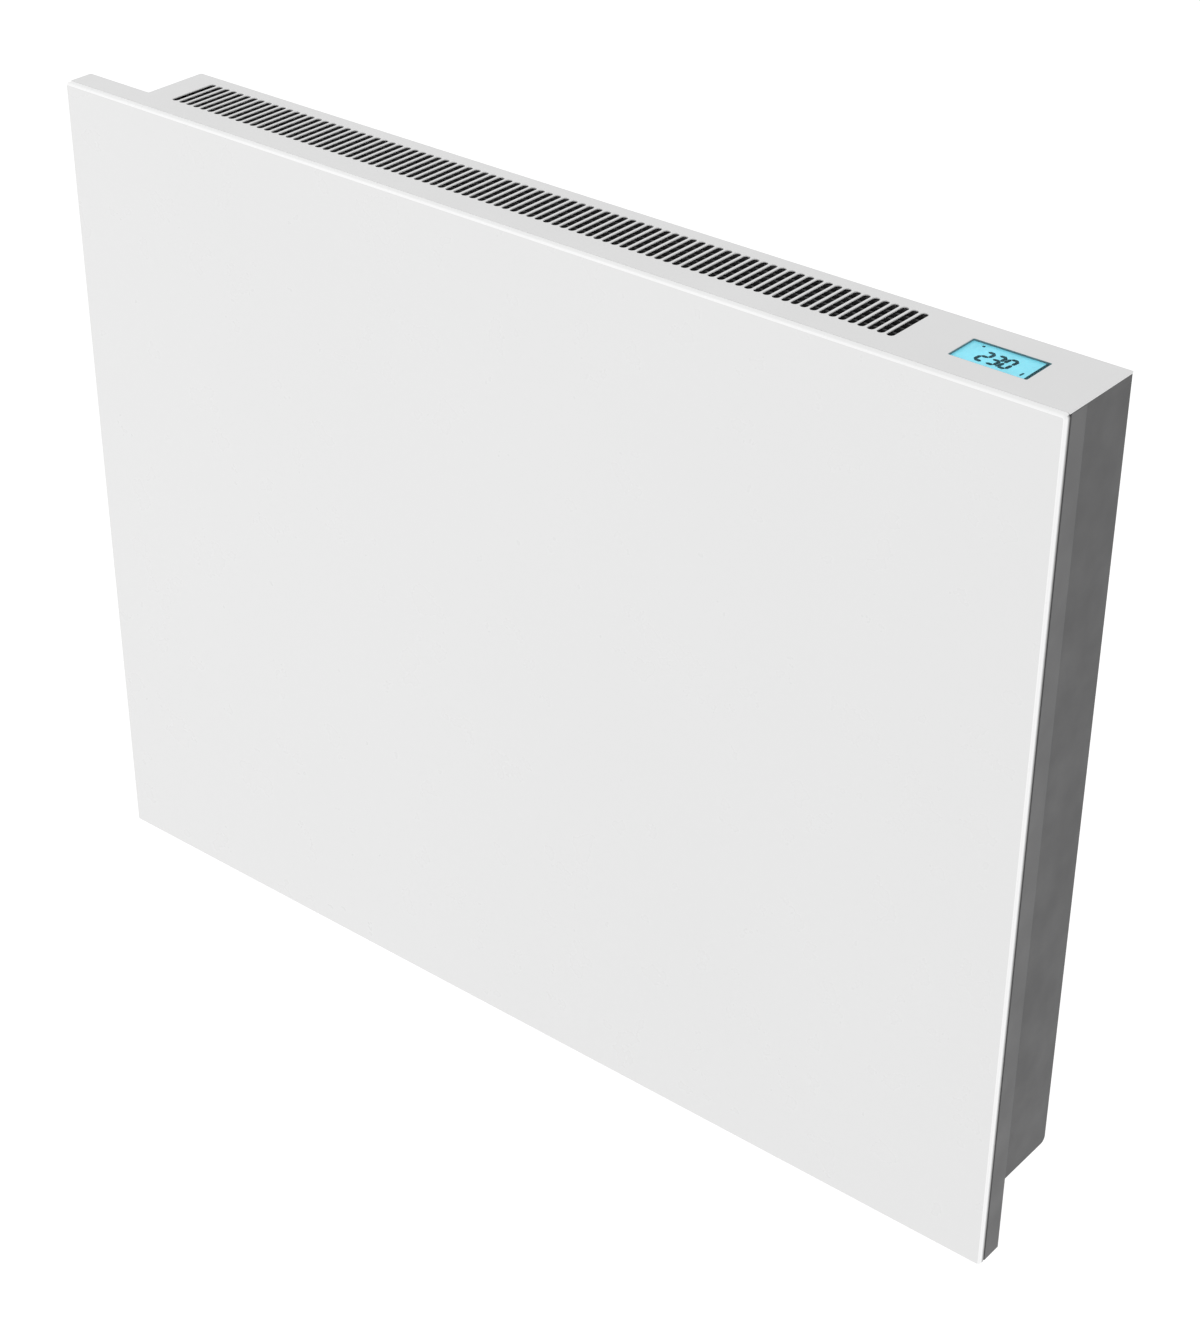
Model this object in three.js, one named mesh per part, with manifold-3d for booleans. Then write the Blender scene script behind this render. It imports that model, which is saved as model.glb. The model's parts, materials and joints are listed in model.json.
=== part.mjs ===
// A wall panel convector heater: a white glass front on a shallow folded tray, a slim steel
// convection case behind it, and the wall bracket that the case hangs on.
// Millimetres, +Z up, +X to the right, +Y towards the wall. The origin is the middle of the upper
// rail's back face, where it lies on the wall.
import * as THREE from 'three';
import { mergeVertices } from 'three/addons/utils/BufferGeometryUtils.js';
import Module from 'manifold-3d';

const wasm = await Module();
wasm.setup();

// ---------------------------------------------------------------- driving dimensions

const GAP = 0.3; // left between pieces that touch
const THROUGH = 1; // how far a cutting tool passes the face that it cuts
const SHEET = 1; // steel sheet of the tray and the case
const FLANGE = 14; // folded flanges of the case

// Front panel
const PANEL_W = 700;
const PANEL_H = 540;
const PANEL_CORNER_R = 2.4;
const GLASS_T = 4;
const GLASS_EDGE_R = 1.5; // rounding of the glass's front edge
const TAPE_T = 1.2;
const TAPE_W = 9;
const TRAY_D = 14.5;
const TRAY_INSET = 0.5; // tray inside the glass's edge, all round
const TRAY_LIP = 12; // return lip that the glass is taped to

// Case
const CASE_D = 43;
const OVERHANG_LEFT = 51.5; // panel past the case, on the left
const OVERHANG_BELOW = 51; // panel past the case, at the bottom
const CASE_INSET_RIGHT = 1.2; // case inside the panel's edge, on the right
const BEND_R = 4; // rear cover's bend, from the back into the bottom
const TOP_T = 0.8;
const TOP_FLANGE = 12;
const TOP_SCREW_INSET = 60; // top screws, from the sides of the case
const BEAD_COUNT = 3; // stiffening beads in the rear cover
const BEAD_L = 420;
const BEAD_W = 12;
const BEAD_PITCH = 36;
const BEAD_RISE = 1.2;

// Outlet slots in the top
const SLOT_PITCH = 5.89;
const SLOT_W = 4.3;
const SLOTS_FROM_CASE_LEFT = 21; // first slot's centre
const SLOTS_FROM_PARTITION = 12; // last slot's centre keeps at least this
const SLOT_FRONT_MARGIN = 0.2;
const SLOT_REAR_MARGIN = 8.6;

// Inlet slots in the bottom
const INLET_PITCH = 12.5;
const INLET_W = 6;
const INLET_MARGIN = 7.5; // slots' ends, from the front and back of the case
const INLET_END_MARGIN = 22; // slots' row, from the ends of the duct

// Display
const WINDOW_W = 45.4;
const WINDOW_L = 23.8;
const WINDOW_CORNER_R = 0.8;
const WINDOW_FROM_RIGHT = 58.1; // centre, from the glass's right edge
const WINDOW_FROM_FRONT = 33.6; // centre, from the glass's front face
const LENS_T = 1.2;
const LCD_T = 5.2; // display with its backlight
const LCD_BORDER = 1.2; // display past the window, each side
const BEZEL_WALL = 1.3;
const BOARD_T = 1.6;
const RELAY_W = 18;
const RELAY_H = 15;
const CAPACITOR_W = 20;
const CAPACITOR_H = 12;
const HEADER_D = 6; // the power board's wire header
const BOARD_MARGIN = 1; // parts on a board, from its edges and from each other
const HOUSING_WALL = 1.6;
const HOUSING_H = 50;
const HOUSING_W = 66;
const HOUSING_LEDGE = 2;
const PARTITION_FLANGE = 7;
const PARTITION_CLEAR = 1; // partition's flanges, from the control housing

// Heat shields and heating element
const SHIELD_T = 0.8;
const FRONT_SHIELD_D = 3;
const REAR_SHIELD_D = 3.4;
const FRONT_SHIELD_BELOW_TOP = 10; // its upper rim, out of sight of the outlet slots
const ELEMENT_ABOVE_BOTTOM = 95;
const ELEMENT_FROM_FRONT = 40.6; // rod's axis, from the glass's front face
const ROD_R = 4;
const ROD_PIN_R = 1.6;
const ROD_PIN_L = 6;
const ROD_PAST_HANGER = 9;
const CORE_R = 7;
const FIN_REACH = 26; // of each fin arm, from the rod's axis
const FIN_FORK = 14; // where each arm's upright branch starts, from the rod's axis
const FIN_T = 1.8;
const FIN_LEAN = 62; // degrees from level: the arms stand close to upright, to suit the slim duct
const FIN_END_CLEAR = 3;
const BUSH_R = 7;
const BUSH_HEAD = 2.5;
const BUSH_HEAD_T = 3;
const BUSH_TAIL = 1; // past the hanger's outer face
const HANGER_FROM_PARTITION = 22;
const HANGER_FROM_FLANGE = 4; // left hanger's foot, from the side panel's flange
const HANGER_FRONT = 12; // hanger's reach from the rod's axis: to the front, down and up
const HANGER_DOWN = 22;
const HANGER_UP = 46;
const HANGER_FOOT = 12;
const CUTOUT_ABOVE_ROD = 34;
const CUTOUT_R = 8;
const CUTOUT_CAP_R = 5.5;
const CUTOUT_CAP_H = 7;
const CUTOUT_RIM_H = 2;

// Wall bracket
const STANDOFF = 12; // from the wall to the case's back
const RAIL_L = 460;
const RAIL_H = 40;
const RAIL_D = 10.2;
const RAIL_T = 1.5;
const RAIL_BELOW_TOP = 90; // upper rail's middle, below the top of the heater
const RAIL_SPACING = 300;
const HOOK_W = 22;
const HOOK_SPACING = 320;
const HOOK_LIP = 10;
const HOOK_SIDE_CLEAR = 2;
const LIFT = 12; // travel that takes the case off the hooks
const STRAP_W = 26;
const STRAP_SPACING = 220;
const STRAP_SIDE_CLEAR = 1;
const WALL_HOLE_R = 3;
const WALL_HOLE_SPACING = 410;
const RIVET_R = 2;
const RIVET_HEAD_R = 4;
const RIVET_HEAD_H = 1.6;
const RIVET_CROWN_R = 2.6;

// Screws
const SCREW_R = 1.9;
const SCREW_HEAD_R = 3.6;
const SCREW_HEAD_H = 2;
const SCREW_CROWN_R = 2.5; // flat crown of the head
const SCREW_L = 6;
const SIDE_SCREW_ENDS = 30; // top and bottom screws of a side, from the ends of the case

// Mains switch, cable entry and room sensor, in the bottom
const BAY_MARGIN = 14; // clear of the partition and of the side panel
const SWITCH_W = 27;
const SWITCH_D = 14;
const SWITCH_H = 19;
const SWITCH_RIM = 1.6;
const SWITCH_RIM_T = 1.5;
const BLADE_L = 7;
const BLADE_W = 4.8;
const BLADE_T = 0.8;
const BLADE_PITCH = 8;
const ROCKER_W = 21;
const ROCKER_D = 9;
const ROCKER_T = 2.4;
const ROCKER_TILT = 10; // degrees to either side of level
const ROCKER_SIDE_CLEAR = 0.5;
const ROCKER_END_CLEAR = 1;
const PIVOT_R = 1.2;
const PIVOT_REACH = 1.3; // of the pivots into the switch's side walls
const GLAND_R = 9;
const GLAND_CAP_R = 7.2;
const GLAND_CAP_L = 6;
const GLAND_TAIL_R = 5.6;
const GLAND_BORE_R = 4;
const GLAND_L = 16;
const GLAND_HEAD_T = 3;
const GLAND_THREAD_R = 6.5;
const GLAND_THREAD_L = 9;
const GLAND_NUT_R = 9.5;
const GLAND_NUT_T = 4;
const GLAND_FROM_PARTITION = 2; // the nut, from the partition
const SENSOR_R = 2.4;
const SENSOR_TIP_R = 1.4;
const SENSOR_DROP = 8;
const SENSOR_HEAD_R = 3.8;
const SENSOR_HEAD_T = 2;

// Terminals and wires
const TERMINAL_W = 34;
const TERMINAL_H = 18;
const TERMINAL_D = 14;
const TERMINAL_PITCH = 11;
const TERMINAL_ABOVE_BOTTOM = 66;
const STUD_R = 2;
const STUD_L = 11;
const STUD_NUT_R = 4;
const STUD_NUT_T = 3;
const STUD_FROM_TERMINALS = 10;
const GROMMET_R = 6.5;
const GROMMET_WALL = 1.4;
const GROMMET_LIP = 1.5;
const GROMMET_LIP_T = 1.2;
const GROMMET_ABOVE_BOTTOM = 34;
const GROMMET_FROM_BACK = 13;
const WIRE_R = 1.2;

// ---------------------------------------------------------------- places worked out from them

const X_RIGHT = (PANEL_W - OVERHANG_LEFT) / 2;
const X_PANEL_LEFT = X_RIGHT - PANEL_W;
const X_PANEL_MIDDLE = X_RIGHT - PANEL_W / 2;
const X_CASE_LEFT = -X_RIGHT;
const X_CASE_RIGHT = X_RIGHT - CASE_INSET_RIGHT;
const X_COVER_LEFT = X_CASE_LEFT + SHEET + GAP; // between the webs of the side panels
const X_COVER_RIGHT = X_CASE_RIGHT - SHEET - GAP;

const Y_BACK = -STANDOFF;
const Y_COVER_IN = Y_BACK - SHEET;
const Y_SEAT = Y_COVER_IN - GAP; // pieces that are fixed to the rear cover end here
const Y_CASE_FRONT = Y_BACK - CASE_D;
const Y_CASE_MIDDLE = Y_BACK - CASE_D / 2;
const Y_TRAY_BACK = Y_CASE_FRONT - GAP;
const Y_TRAY_WEB = Y_TRAY_BACK - SHEET;
const Y_TRAY_FRONT = Y_TRAY_BACK - TRAY_D;
const Y_TAPE_BACK = Y_TRAY_FRONT - GAP;
const Y_GLASS_BACK = Y_TAPE_BACK - TAPE_T - GAP;
const Y_GLASS_FRONT = Y_GLASS_BACK - GLASS_T;

const Z_TOP = RAIL_BELOW_TOP;
const Z_UNDER_TOP = Z_TOP - TOP_T;
const Z_WALLS_TOP = Z_UNDER_TOP - GAP;
const Z_PANEL_BOTTOM = Z_TOP - PANEL_H;
const Z_PANEL_MIDDLE = Z_TOP - PANEL_H / 2;
const Z_CASE_BOTTOM = Z_PANEL_BOTTOM + OVERHANG_BELOW;
const Z_FLOOR = Z_CASE_BOTTOM + SHEET; // inside of the case's bottom

const X_DISPLAY = X_RIGHT - WINDOW_FROM_RIGHT;
const Y_DISPLAY = Y_GLASS_FRONT + WINDOW_FROM_FRONT;
const LCD_W = WINDOW_W + 2 * LCD_BORDER;
const LCD_L = WINDOW_L + 2 * LCD_BORDER;
const HOUSING_D = LCD_L + 2 * (BEZEL_WALL + 2 * GAP + HOUSING_WALL);
const X_PARTITION = X_DISPLAY - HOUSING_W / 2 - PARTITION_CLEAR - PARTITION_FLANGE; // its hot side
const X_PARTITION_COOL = X_PARTITION + SHEET;

const Y_ROD = Y_GLASS_FRONT + ELEMENT_FROM_FRONT;
const Z_ROD = Z_CASE_BOTTOM + ELEMENT_ABOVE_BOTTOM;
const X_HANGER_LEFT = X_COVER_LEFT + FLANGE + HANGER_FROM_FLANGE + HANGER_FOOT; // inner faces of the hangers
const X_HANGER_RIGHT = X_PARTITION - HANGER_FROM_PARTITION;

const X_GLAND = X_PARTITION_COOL + GLAND_FROM_PARTITION + GLAND_NUT_R;
const X_SWITCH = X_COVER_RIGHT - BAY_MARGIN - SWITCH_RIM - SWITCH_W / 2;
const X_TERMINALS = X_PARTITION_COOL + BAY_MARGIN + TERMINAL_W / 2;
const Z_TERMINALS = Z_CASE_BOTTOM + TERMINAL_ABOVE_BOTTOM;
const X_STUD = X_TERMINALS + TERMINAL_W / 2 + STUD_FROM_TERMINALS;
const Y_GROMMET = Y_SEAT - GROMMET_FROM_BACK;
const Z_GROMMET = Z_CASE_BOTTOM + GROMMET_ABOVE_BOTTOM;

// ---------------------------------------------------------------- materials

const paint = (color, roughness, metalness = 0) =>
  new THREE.MeshStandardMaterial({ color, roughness, metalness, flatShading: true });
const WHITE_GLASS = paint(0xebebeb, 0.12);
const WHITE_PAINT = paint(0xdedede, 0.45);
const GREY_PAINT = paint(0x6b6b6b, 0.55);
const GALVANISED = paint(0xa9adb0, 0.35, 0.9);
const ALUMINIUM = paint(0xc4c6c8, 0.3, 0.95);
const STEEL = paint(0x8d8f91, 0.3, 0.95);
const CERAMIC = paint(0xe8e2d2, 0.5);
const WOOL = paint(0xd6c98f, 0.95);
const FOAM = paint(0x2c2c2e, 0.9);
const BLACK_PLASTIC = paint(0x1c1c1e, 0.45);
const WHITE_PLASTIC = paint(0xd9d9d6, 0.5);
const BOARD_GREEN = paint(0x1f5b38, 0.4);
const CYAN_DISPLAY = paint(0x8fe4f2, 0.2);
const CLEAR_LENS = paint(0xcfeef3, 0.05);
const BROWN_WIRE = paint(0x6e4125, 0.5);
const BLUE_WIRE = paint(0x2b5f9e, 0.5);
const EARTH_WIRE = paint(0x7fa03a, 0.5);

// ---------------------------------------------------------------- shapes

// A box between two corners.
function block([x0, y0, z0], [x1, y1, z1]) {
  const box = new THREE.BoxGeometry(x1 - x0, y1 - y0, z1 - z0);
  return box.translate((x0 + x1) / 2, (y0 + y1) / 2, (z0 + z1) / 2);
}

// A round bar along Z.
function bar(r, z0, z1, sides = 16) {
  const cylinder = new THREE.CylinderGeometry(r, r, z1 - z0, sides).rotateX(Math.PI / 2);
  return cylinder.translate(0, 0, (z0 + z1) / 2);
}

// A solid of revolution about Z, from [radius, height] points that go up its outside.
function turned(points, sides = 16) {
  const lathe = new THREE.LatheGeometry(points.map(([r, h]) => new THREE.Vector2(r, h)), sides);
  return lathe.rotateX(Math.PI / 2);
}

const alongX = (geometry) => geometry.rotateY(Math.PI / 2);
const alongY = (geometry) => geometry.rotateX(-Math.PI / 2);

// A rectangle with round corners, centred on (cx, cy), added to a shape or a path.
function roundedRectangle(path, cx, cy, w, h, r) {
  const [x0, x1, y0, y1] = [cx - w / 2, cx + w / 2, cy - h / 2, cy + h / 2];
  path.moveTo(x0 + r, y0);
  path.absarc(x1 - r, y0 + r, r, -Math.PI / 2, 0);
  path.absarc(x1 - r, y1 - r, r, 0, Math.PI / 2);
  path.absarc(x0 + r, y1 - r, r, Math.PI / 2, Math.PI);
  path.absarc(x0 + r, y0 + r, r, Math.PI, Math.PI * 1.5);
  return path;
}

// A slot with half-round ends, its length along y.
function slotOutline(path, cx, cy, w, length) {
  const reach = (length - w) / 2;
  path.moveTo(cx + w / 2, cy - reach);
  path.absarc(cx, cy + reach, w / 2, 0, Math.PI);
  path.absarc(cx, cy - reach, w / 2, Math.PI, 2 * Math.PI);
  return path;
}

const polygon = (points) => new THREE.Shape(points.map(([x, y]) => new THREE.Vector2(x, y)));

// A shape in x and y, between two heights.
function plate(shape, z0, z1, curveSegments = 2) {
  const options = { depth: z1 - z0, bevelEnabled: false, curveSegments };
  return new THREE.ExtrudeGeometry(shape, options).translate(0, 0, z0);
}

// A shape drawn in y and z, extruded from x0 to x1.
function rib(shape, x0, x1, curveSegments = 4) {
  const options = { depth: x1 - x0, bevelEnabled: false, curveSegments };
  const made = new THREE.ExtrudeGeometry(shape, options);
  return made.rotateY(Math.PI / 2).rotateX(Math.PI / 2).translate(x0, 0, 0);
}

// A round wire through points.
function wire(name, material, points) {
  const curve = new THREE.CatmullRomCurve3(points.map((p) => new THREE.Vector3(...p)), false, 'centripetal');
  const section = new THREE.Shape().absarc(0, 0, WIRE_R, 0, 2 * Math.PI);
  const steps = Math.round(curve.getLength() / (8 * WIRE_R));
  const options = { extrudePath: curve, steps, curveSegments: 4 };
  return part(name, new THREE.ExtrudeGeometry(section, options), material);
}

// ---------------------------------------------------------------- cuts and joins

function solidOf(geometry) {
  const bare = geometry.index ? geometry.toNonIndexed() : geometry.clone();
  bare.deleteAttribute('normal');
  bare.deleteAttribute('uv');
  const merged = mergeVertices(bare, 1e-4);
  const vertProperties = new Float32Array(merged.attributes.position.array);
  const triVerts = new Uint32Array(merged.index.array);
  return new wasm.Manifold(new wasm.Mesh({ numProp: 3, vertProperties, triVerts }));
}

function geometryOf(solid) {
  const { vertProperties, triVerts } = solid.getMesh();
  const geometry = new THREE.BufferGeometry();
  geometry.setAttribute('position', new THREE.BufferAttribute(vertProperties, 3));
  geometry.setIndex(new THREE.BufferAttribute(triVerts, 1));
  return geometry;
}

const join = (...pieces) =>
  geometryOf(pieces.map(solidOf).reduce((whole, piece) => whole.add(piece)));
const cut = (body, ...tools) =>
  geometryOf(tools.map(solidOf).reduce((rest, tool) => rest.subtract(tool), solidOf(body)));

function part(name, geometry, material, position = [0, 0, 0]) {
  const mesh = new THREE.Mesh(geometry, material);
  mesh.name = name;
  mesh.position.set(...position);
  return mesh;
}

function groupAt(position, ...children) {
  const group = new THREE.Group();
  group.position.set(...position);
  return group.add(...children);
}

// ---------------------------------------------------------------- front panel

// Toughened glass, lacquered white on its back, with a rounded front edge.
function frontGlass() {
  const [w, h] = [PANEL_W - 2 * GLASS_EDGE_R, PANEL_H - 2 * GLASS_EDGE_R];
  const shape = roundedRectangle(new THREE.Shape(), X_PANEL_MIDDLE, Z_PANEL_MIDDLE, w, h,
    PANEL_CORNER_R - GLASS_EDGE_R);
  const slab = new THREE.ExtrudeGeometry(shape, {
    depth: GLASS_T,
    bevelThickness: GLASS_EDGE_R,
    bevelSize: GLASS_EDGE_R,
    bevelSegments: 4,
    curveSegments: 4,
  });
  slab.rotateX(Math.PI / 2).translate(0, Y_GLASS_FRONT + GLASS_EDGE_R + GLASS_T, 0);
  const behind = block(
    [X_PANEL_LEFT - THROUGH, Y_GLASS_BACK, Z_PANEL_BOTTOM - THROUGH],
    [X_RIGHT + THROUGH, Y_GLASS_BACK + 2 * GLASS_T + 2 * GLASS_EDGE_R, Z_TOP + THROUGH]);
  return part('front_glass', cut(slab, behind), WHITE_GLASS);
}

// Foam tape between the glass and the tray's lips, in one closed frame.
function bondTape() {
  const inset = TRAY_INSET + (TRAY_LIP - TAPE_W) / 2;
  const [w, h] = [PANEL_W - 2 * inset, PANEL_H - TOP_T - GAP - 2 * inset];
  const middle = Z_PANEL_MIDDLE - (TOP_T + GAP) / 2;
  const frame = roundedRectangle(new THREE.Shape(), X_PANEL_MIDDLE, middle, w, h, TAPE_W / 4);
  const mouth = [X_PANEL_MIDDLE, middle, w - 2 * TAPE_W, h - 2 * TAPE_W, TAPE_W / 4];
  frame.holes.push(roundedRectangle(new THREE.Path(), ...mouth));
  const tape = plate(frame, 0, TAPE_T).rotateX(Math.PI / 2);
  return part('bond_tape', tape, FOAM, [0, Y_TAPE_BACK, 0]);
}

const TRAY_LEFT = X_PANEL_LEFT + TRAY_INSET;
const TRAY_RIGHT = X_RIGHT - TRAY_INSET;
const TRAY_BOTTOM = Z_PANEL_BOTTOM + TRAY_INSET;

// The room that the control housing takes out of the tray and its filling.
function housingRoom() {
  const half = HOUSING_W / 2 + 2 * GAP;
  return block(
    [X_DISPLAY - half, Y_DISPLAY - HOUSING_D / 2 - 2 * GAP, Z_UNDER_TOP - HOUSING_H - 2 * GAP],
    [X_DISPLAY + half, Y_TRAY_BACK + THROUGH, Z_TOP]);
}

// The folded tray: a web at the back, four flanges, and return lips round the open front.
function frontTray() {
  const whole = block([TRAY_LEFT, Y_TRAY_FRONT, TRAY_BOTTOM], [TRAY_RIGHT, Y_TRAY_BACK, Z_WALLS_TOP]);
  const inside = block(
    [TRAY_LEFT + SHEET, Y_TRAY_FRONT + SHEET, TRAY_BOTTOM + SHEET],
    [TRAY_RIGHT - SHEET, Y_TRAY_WEB, Z_WALLS_TOP - SHEET]);
  const mouth = block(
    [TRAY_LEFT + TRAY_LIP, Y_TRAY_FRONT - THROUGH, TRAY_BOTTOM + TRAY_LIP],
    [TRAY_RIGHT - TRAY_LIP, Y_TRAY_FRONT + 2 * SHEET, Z_WALLS_TOP - TRAY_LIP]);
  const holes = panelScrewPlaces().map(([x, z]) =>
    alongY(bar(SCREW_R + GAP, -SHEET - THROUGH, THROUGH, 12)).translate(x, Y_TRAY_BACK, z));
  return part('front_tray', cut(whole, inside, mouth, housingRoom(), ...holes), GREY_PAINT);
}

// A mineral wool board that fills the tray, so that the glass stays cool.
function insulation() {
  const slack = SHEET + 2 * GAP;
  const board = block(
    [TRAY_LEFT + slack, Y_TRAY_FRONT + SHEET + GAP, TRAY_BOTTOM + slack],
    [TRAY_RIGHT - slack, Y_TRAY_WEB - GAP, Z_WALLS_TOP - slack]);
  const holes = panelScrewPlaces().map(([x, z]) =>
    alongY(bar(SCREW_R + GAP, -SCREW_L - GAP, THROUGH, 12)).translate(x, Y_TRAY_BACK, z));
  return part('insulation_board', cut(board, housingRoom(), ...holes), WOOL);
}

// ---------------------------------------------------------------- case

const FLANGE_MIDDLE = SHEET + GAP + FLANGE / 2;
const SIDE_COLUMNS = [X_CASE_LEFT + FLANGE_MIDDLE, X_CASE_RIGHT - FLANGE_MIDDLE];

// Side screws go in three rows, and two more hold the top cover's flange.
function rearScrewPlaces() {
  const top = Z_TOP - SIDE_SCREW_ENDS;
  const bottom = Z_CASE_BOTTOM + SIDE_SCREW_ENDS;
  const rows = [top, (top + bottom) / 2, bottom];
  const sides = ['left', 'right'].flatMap((side, i) =>
    rows.map((z, row) => [`rear_screw_${side}_${row + 1}`, SIDE_COLUMNS[i], z]));
  const zFlange = Z_UNDER_TOP - TOP_FLANGE / 2;
  return [...sides,
    ['rear_screw_top_left', X_COVER_LEFT + TOP_SCREW_INSET, zFlange],
    ['rear_screw_top_right', X_COVER_RIGHT - TOP_SCREW_INSET, zFlange]];
}

// The case is screwed to the tray through the front flanges of the side panels.
function panelScrewPlaces() {
  const rows = [Z_TOP - 3 * SIDE_SCREW_ENDS, Z_CASE_BOTTOM + SIDE_SCREW_ENDS];
  return SIDE_COLUMNS.flatMap((x) => rows.map((z) => [x, z]));
}

// Holes for all the rear screws, from the rear cover's back through the flanges behind it.
function rearScrewHoles() {
  return rearScrewPlaces().map(([, x, z]) =>
    alongY(bar(SCREW_R + GAP, -SCREW_L - 2 * SHEET, THROUGH, 12)).translate(x, Y_BACK, z));
}

// A side of the case: a web with its corner rounded to the rear cover's bend, and flanges inwards.
function sidePanel(name, xOuter, inward) {
  const between = (a, b) => [xOuter + inward * a, xOuter + inward * b].sort((p, q) => p - q);
  const [web0, web1] = between(0, SHEET);
  const [fold0, fold1] = between(SHEET / 2, SHEET + GAP + FLANGE);
  const side = new THREE.Shape();
  side.moveTo(Y_CASE_FRONT, Z_CASE_BOTTOM);
  side.lineTo(Y_BACK - BEND_R, Z_CASE_BOTTOM);
  side.absarc(Y_BACK - BEND_R, Z_CASE_BOTTOM + BEND_R, BEND_R, -Math.PI / 2, 0);
  side.lineTo(Y_BACK, Z_WALLS_TOP);
  side.lineTo(Y_CASE_FRONT, Z_WALLS_TOP);
  const zFold = Z_FLOOR + GAP;
  const channel = join(
    rib(side, web0, web1),
    block([fold0, Y_CASE_FRONT, zFold], [fold1, Y_CASE_FRONT + SHEET, Z_WALLS_TOP]),
    block([fold0, Y_SEAT - SHEET, Z_CASE_BOTTOM + BEND_R], [fold1, Y_SEAT, Z_WALLS_TOP]),
    block([fold0, Y_CASE_FRONT, zFold], [fold1, Y_BACK - BEND_R - GAP, zFold + SHEET]));
  const holes = panelScrewPlaces().map(([x, z]) =>
    alongY(bar(SCREW_R + GAP, -THROUGH, SHEET + THROUGH, 12)).translate(x, Y_CASE_FRONT, z));
  return part(name, cut(channel, ...holes, ...rearScrewHoles()), GREY_PAINT);
}

// Openings that the hooks reach through. They are open downwards by the lift, so that the lips
// come free when the case is raised.
function hookOpenings() {
  const half = HOOK_W / 2 + HOOK_SIDE_CLEAR;
  const above = RAIL_H / 2 + GAP;
  const below = RAIL_H / 2 - RAIL_T - LIFT - GAP;
  return [-HOOK_SPACING / 2, HOOK_SPACING / 2].flatMap((x) => [0, -RAIL_SPACING].map((z) =>
    block([x - half, Y_COVER_IN - THROUGH, z + below], [x + half, Y_BACK + THROUGH, z + above])));
}

// Inlet slots under the duct.
function inletSlots() {
  const room = X_PARTITION - X_COVER_LEFT - 2 * INLET_END_MARGIN;
  const count = Math.floor(room / INLET_PITCH) + 1;
  const first = (X_PARTITION + X_COVER_LEFT - (count - 1) * INLET_PITCH) / 2;
  const length = CASE_D - 2 * INLET_MARGIN;
  const [z0, z1] = [Z_CASE_BOTTOM - THROUGH, Z_FLOOR + THROUGH];
  return Array.from({ length: count }, (_, i) => {
    const outline = slotOutline(new THREE.Shape(), first + i * INLET_PITCH, Y_CASE_MIDDLE, INLET_W, length);
    return plate(outline, z0, z1);
  });
}

// One folded sheet: the back, a round bend, and the bottom with its inlet slots.
function rearCover() {
  const sheet = new THREE.Shape();
  sheet.moveTo(Y_CASE_FRONT, Z_CASE_BOTTOM);
  sheet.lineTo(Y_BACK - BEND_R, Z_CASE_BOTTOM);
  sheet.absarc(Y_BACK - BEND_R, Z_CASE_BOTTOM + BEND_R, BEND_R, -Math.PI / 2, 0);
  sheet.lineTo(Y_BACK, Z_WALLS_TOP);
  sheet.lineTo(Y_COVER_IN, Z_WALLS_TOP);
  sheet.lineTo(Y_COVER_IN, Z_CASE_BOTTOM + BEND_R);
  sheet.absarc(Y_BACK - BEND_R, Z_CASE_BOTTOM + BEND_R, BEND_R - SHEET, 0, -Math.PI / 2, true);
  sheet.lineTo(Y_CASE_FRONT, Z_FLOOR);
  const folded = rib(sheet, X_COVER_LEFT, X_COVER_RIGHT);
  const bead = (inset, y0, y1) => Array.from({ length: BEAD_COUNT }, (_, i) => {
    const z = -RAIL_SPACING / 2 + (i - (BEAD_COUNT - 1) / 2) * BEAD_PITCH;
    const outline = slotOutline(new THREE.Shape(), 0, 0, BEAD_W - 2 * inset, BEAD_L - 2 * inset);
    return alongY(plate(outline, y0, y1, 4).rotateZ(Math.PI / 2)).translate(0, 0, z);
  });
  const raised = join(folded, ...bead(0, Y_BACK - SHEET / 2, Y_BACK + BEAD_RISE));
  const [z0, z1] = [Z_CASE_BOTTOM - THROUGH, Z_FLOOR + THROUGH];
  const [switchW, switchD] = [SWITCH_W + 2 * GAP, SWITCH_D + 2 * GAP];
  const holes = [
    block([X_SWITCH - switchW / 2, Y_CASE_MIDDLE - switchD / 2, z0],
      [X_SWITCH + switchW / 2, Y_CASE_MIDDLE + switchD / 2, z1]),
    bar(GLAND_THREAD_R + GAP, z0, z1).translate(X_GLAND, Y_CASE_MIDDLE, 0),
    bar(SENSOR_R + GAP, z0, z1, 12).translate(xSensor(), Y_CASE_MIDDLE, 0),
  ];
  const tools = [...bead(SHEET, Y_COVER_IN - THROUGH, Y_COVER_IN + BEAD_RISE), ...holes,
    ...inletSlots(), ...hookOpenings(), ...rearScrewHoles()];
  return part('rear_cover', cut(raised, ...tools), GREY_PAINT);
}

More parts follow.
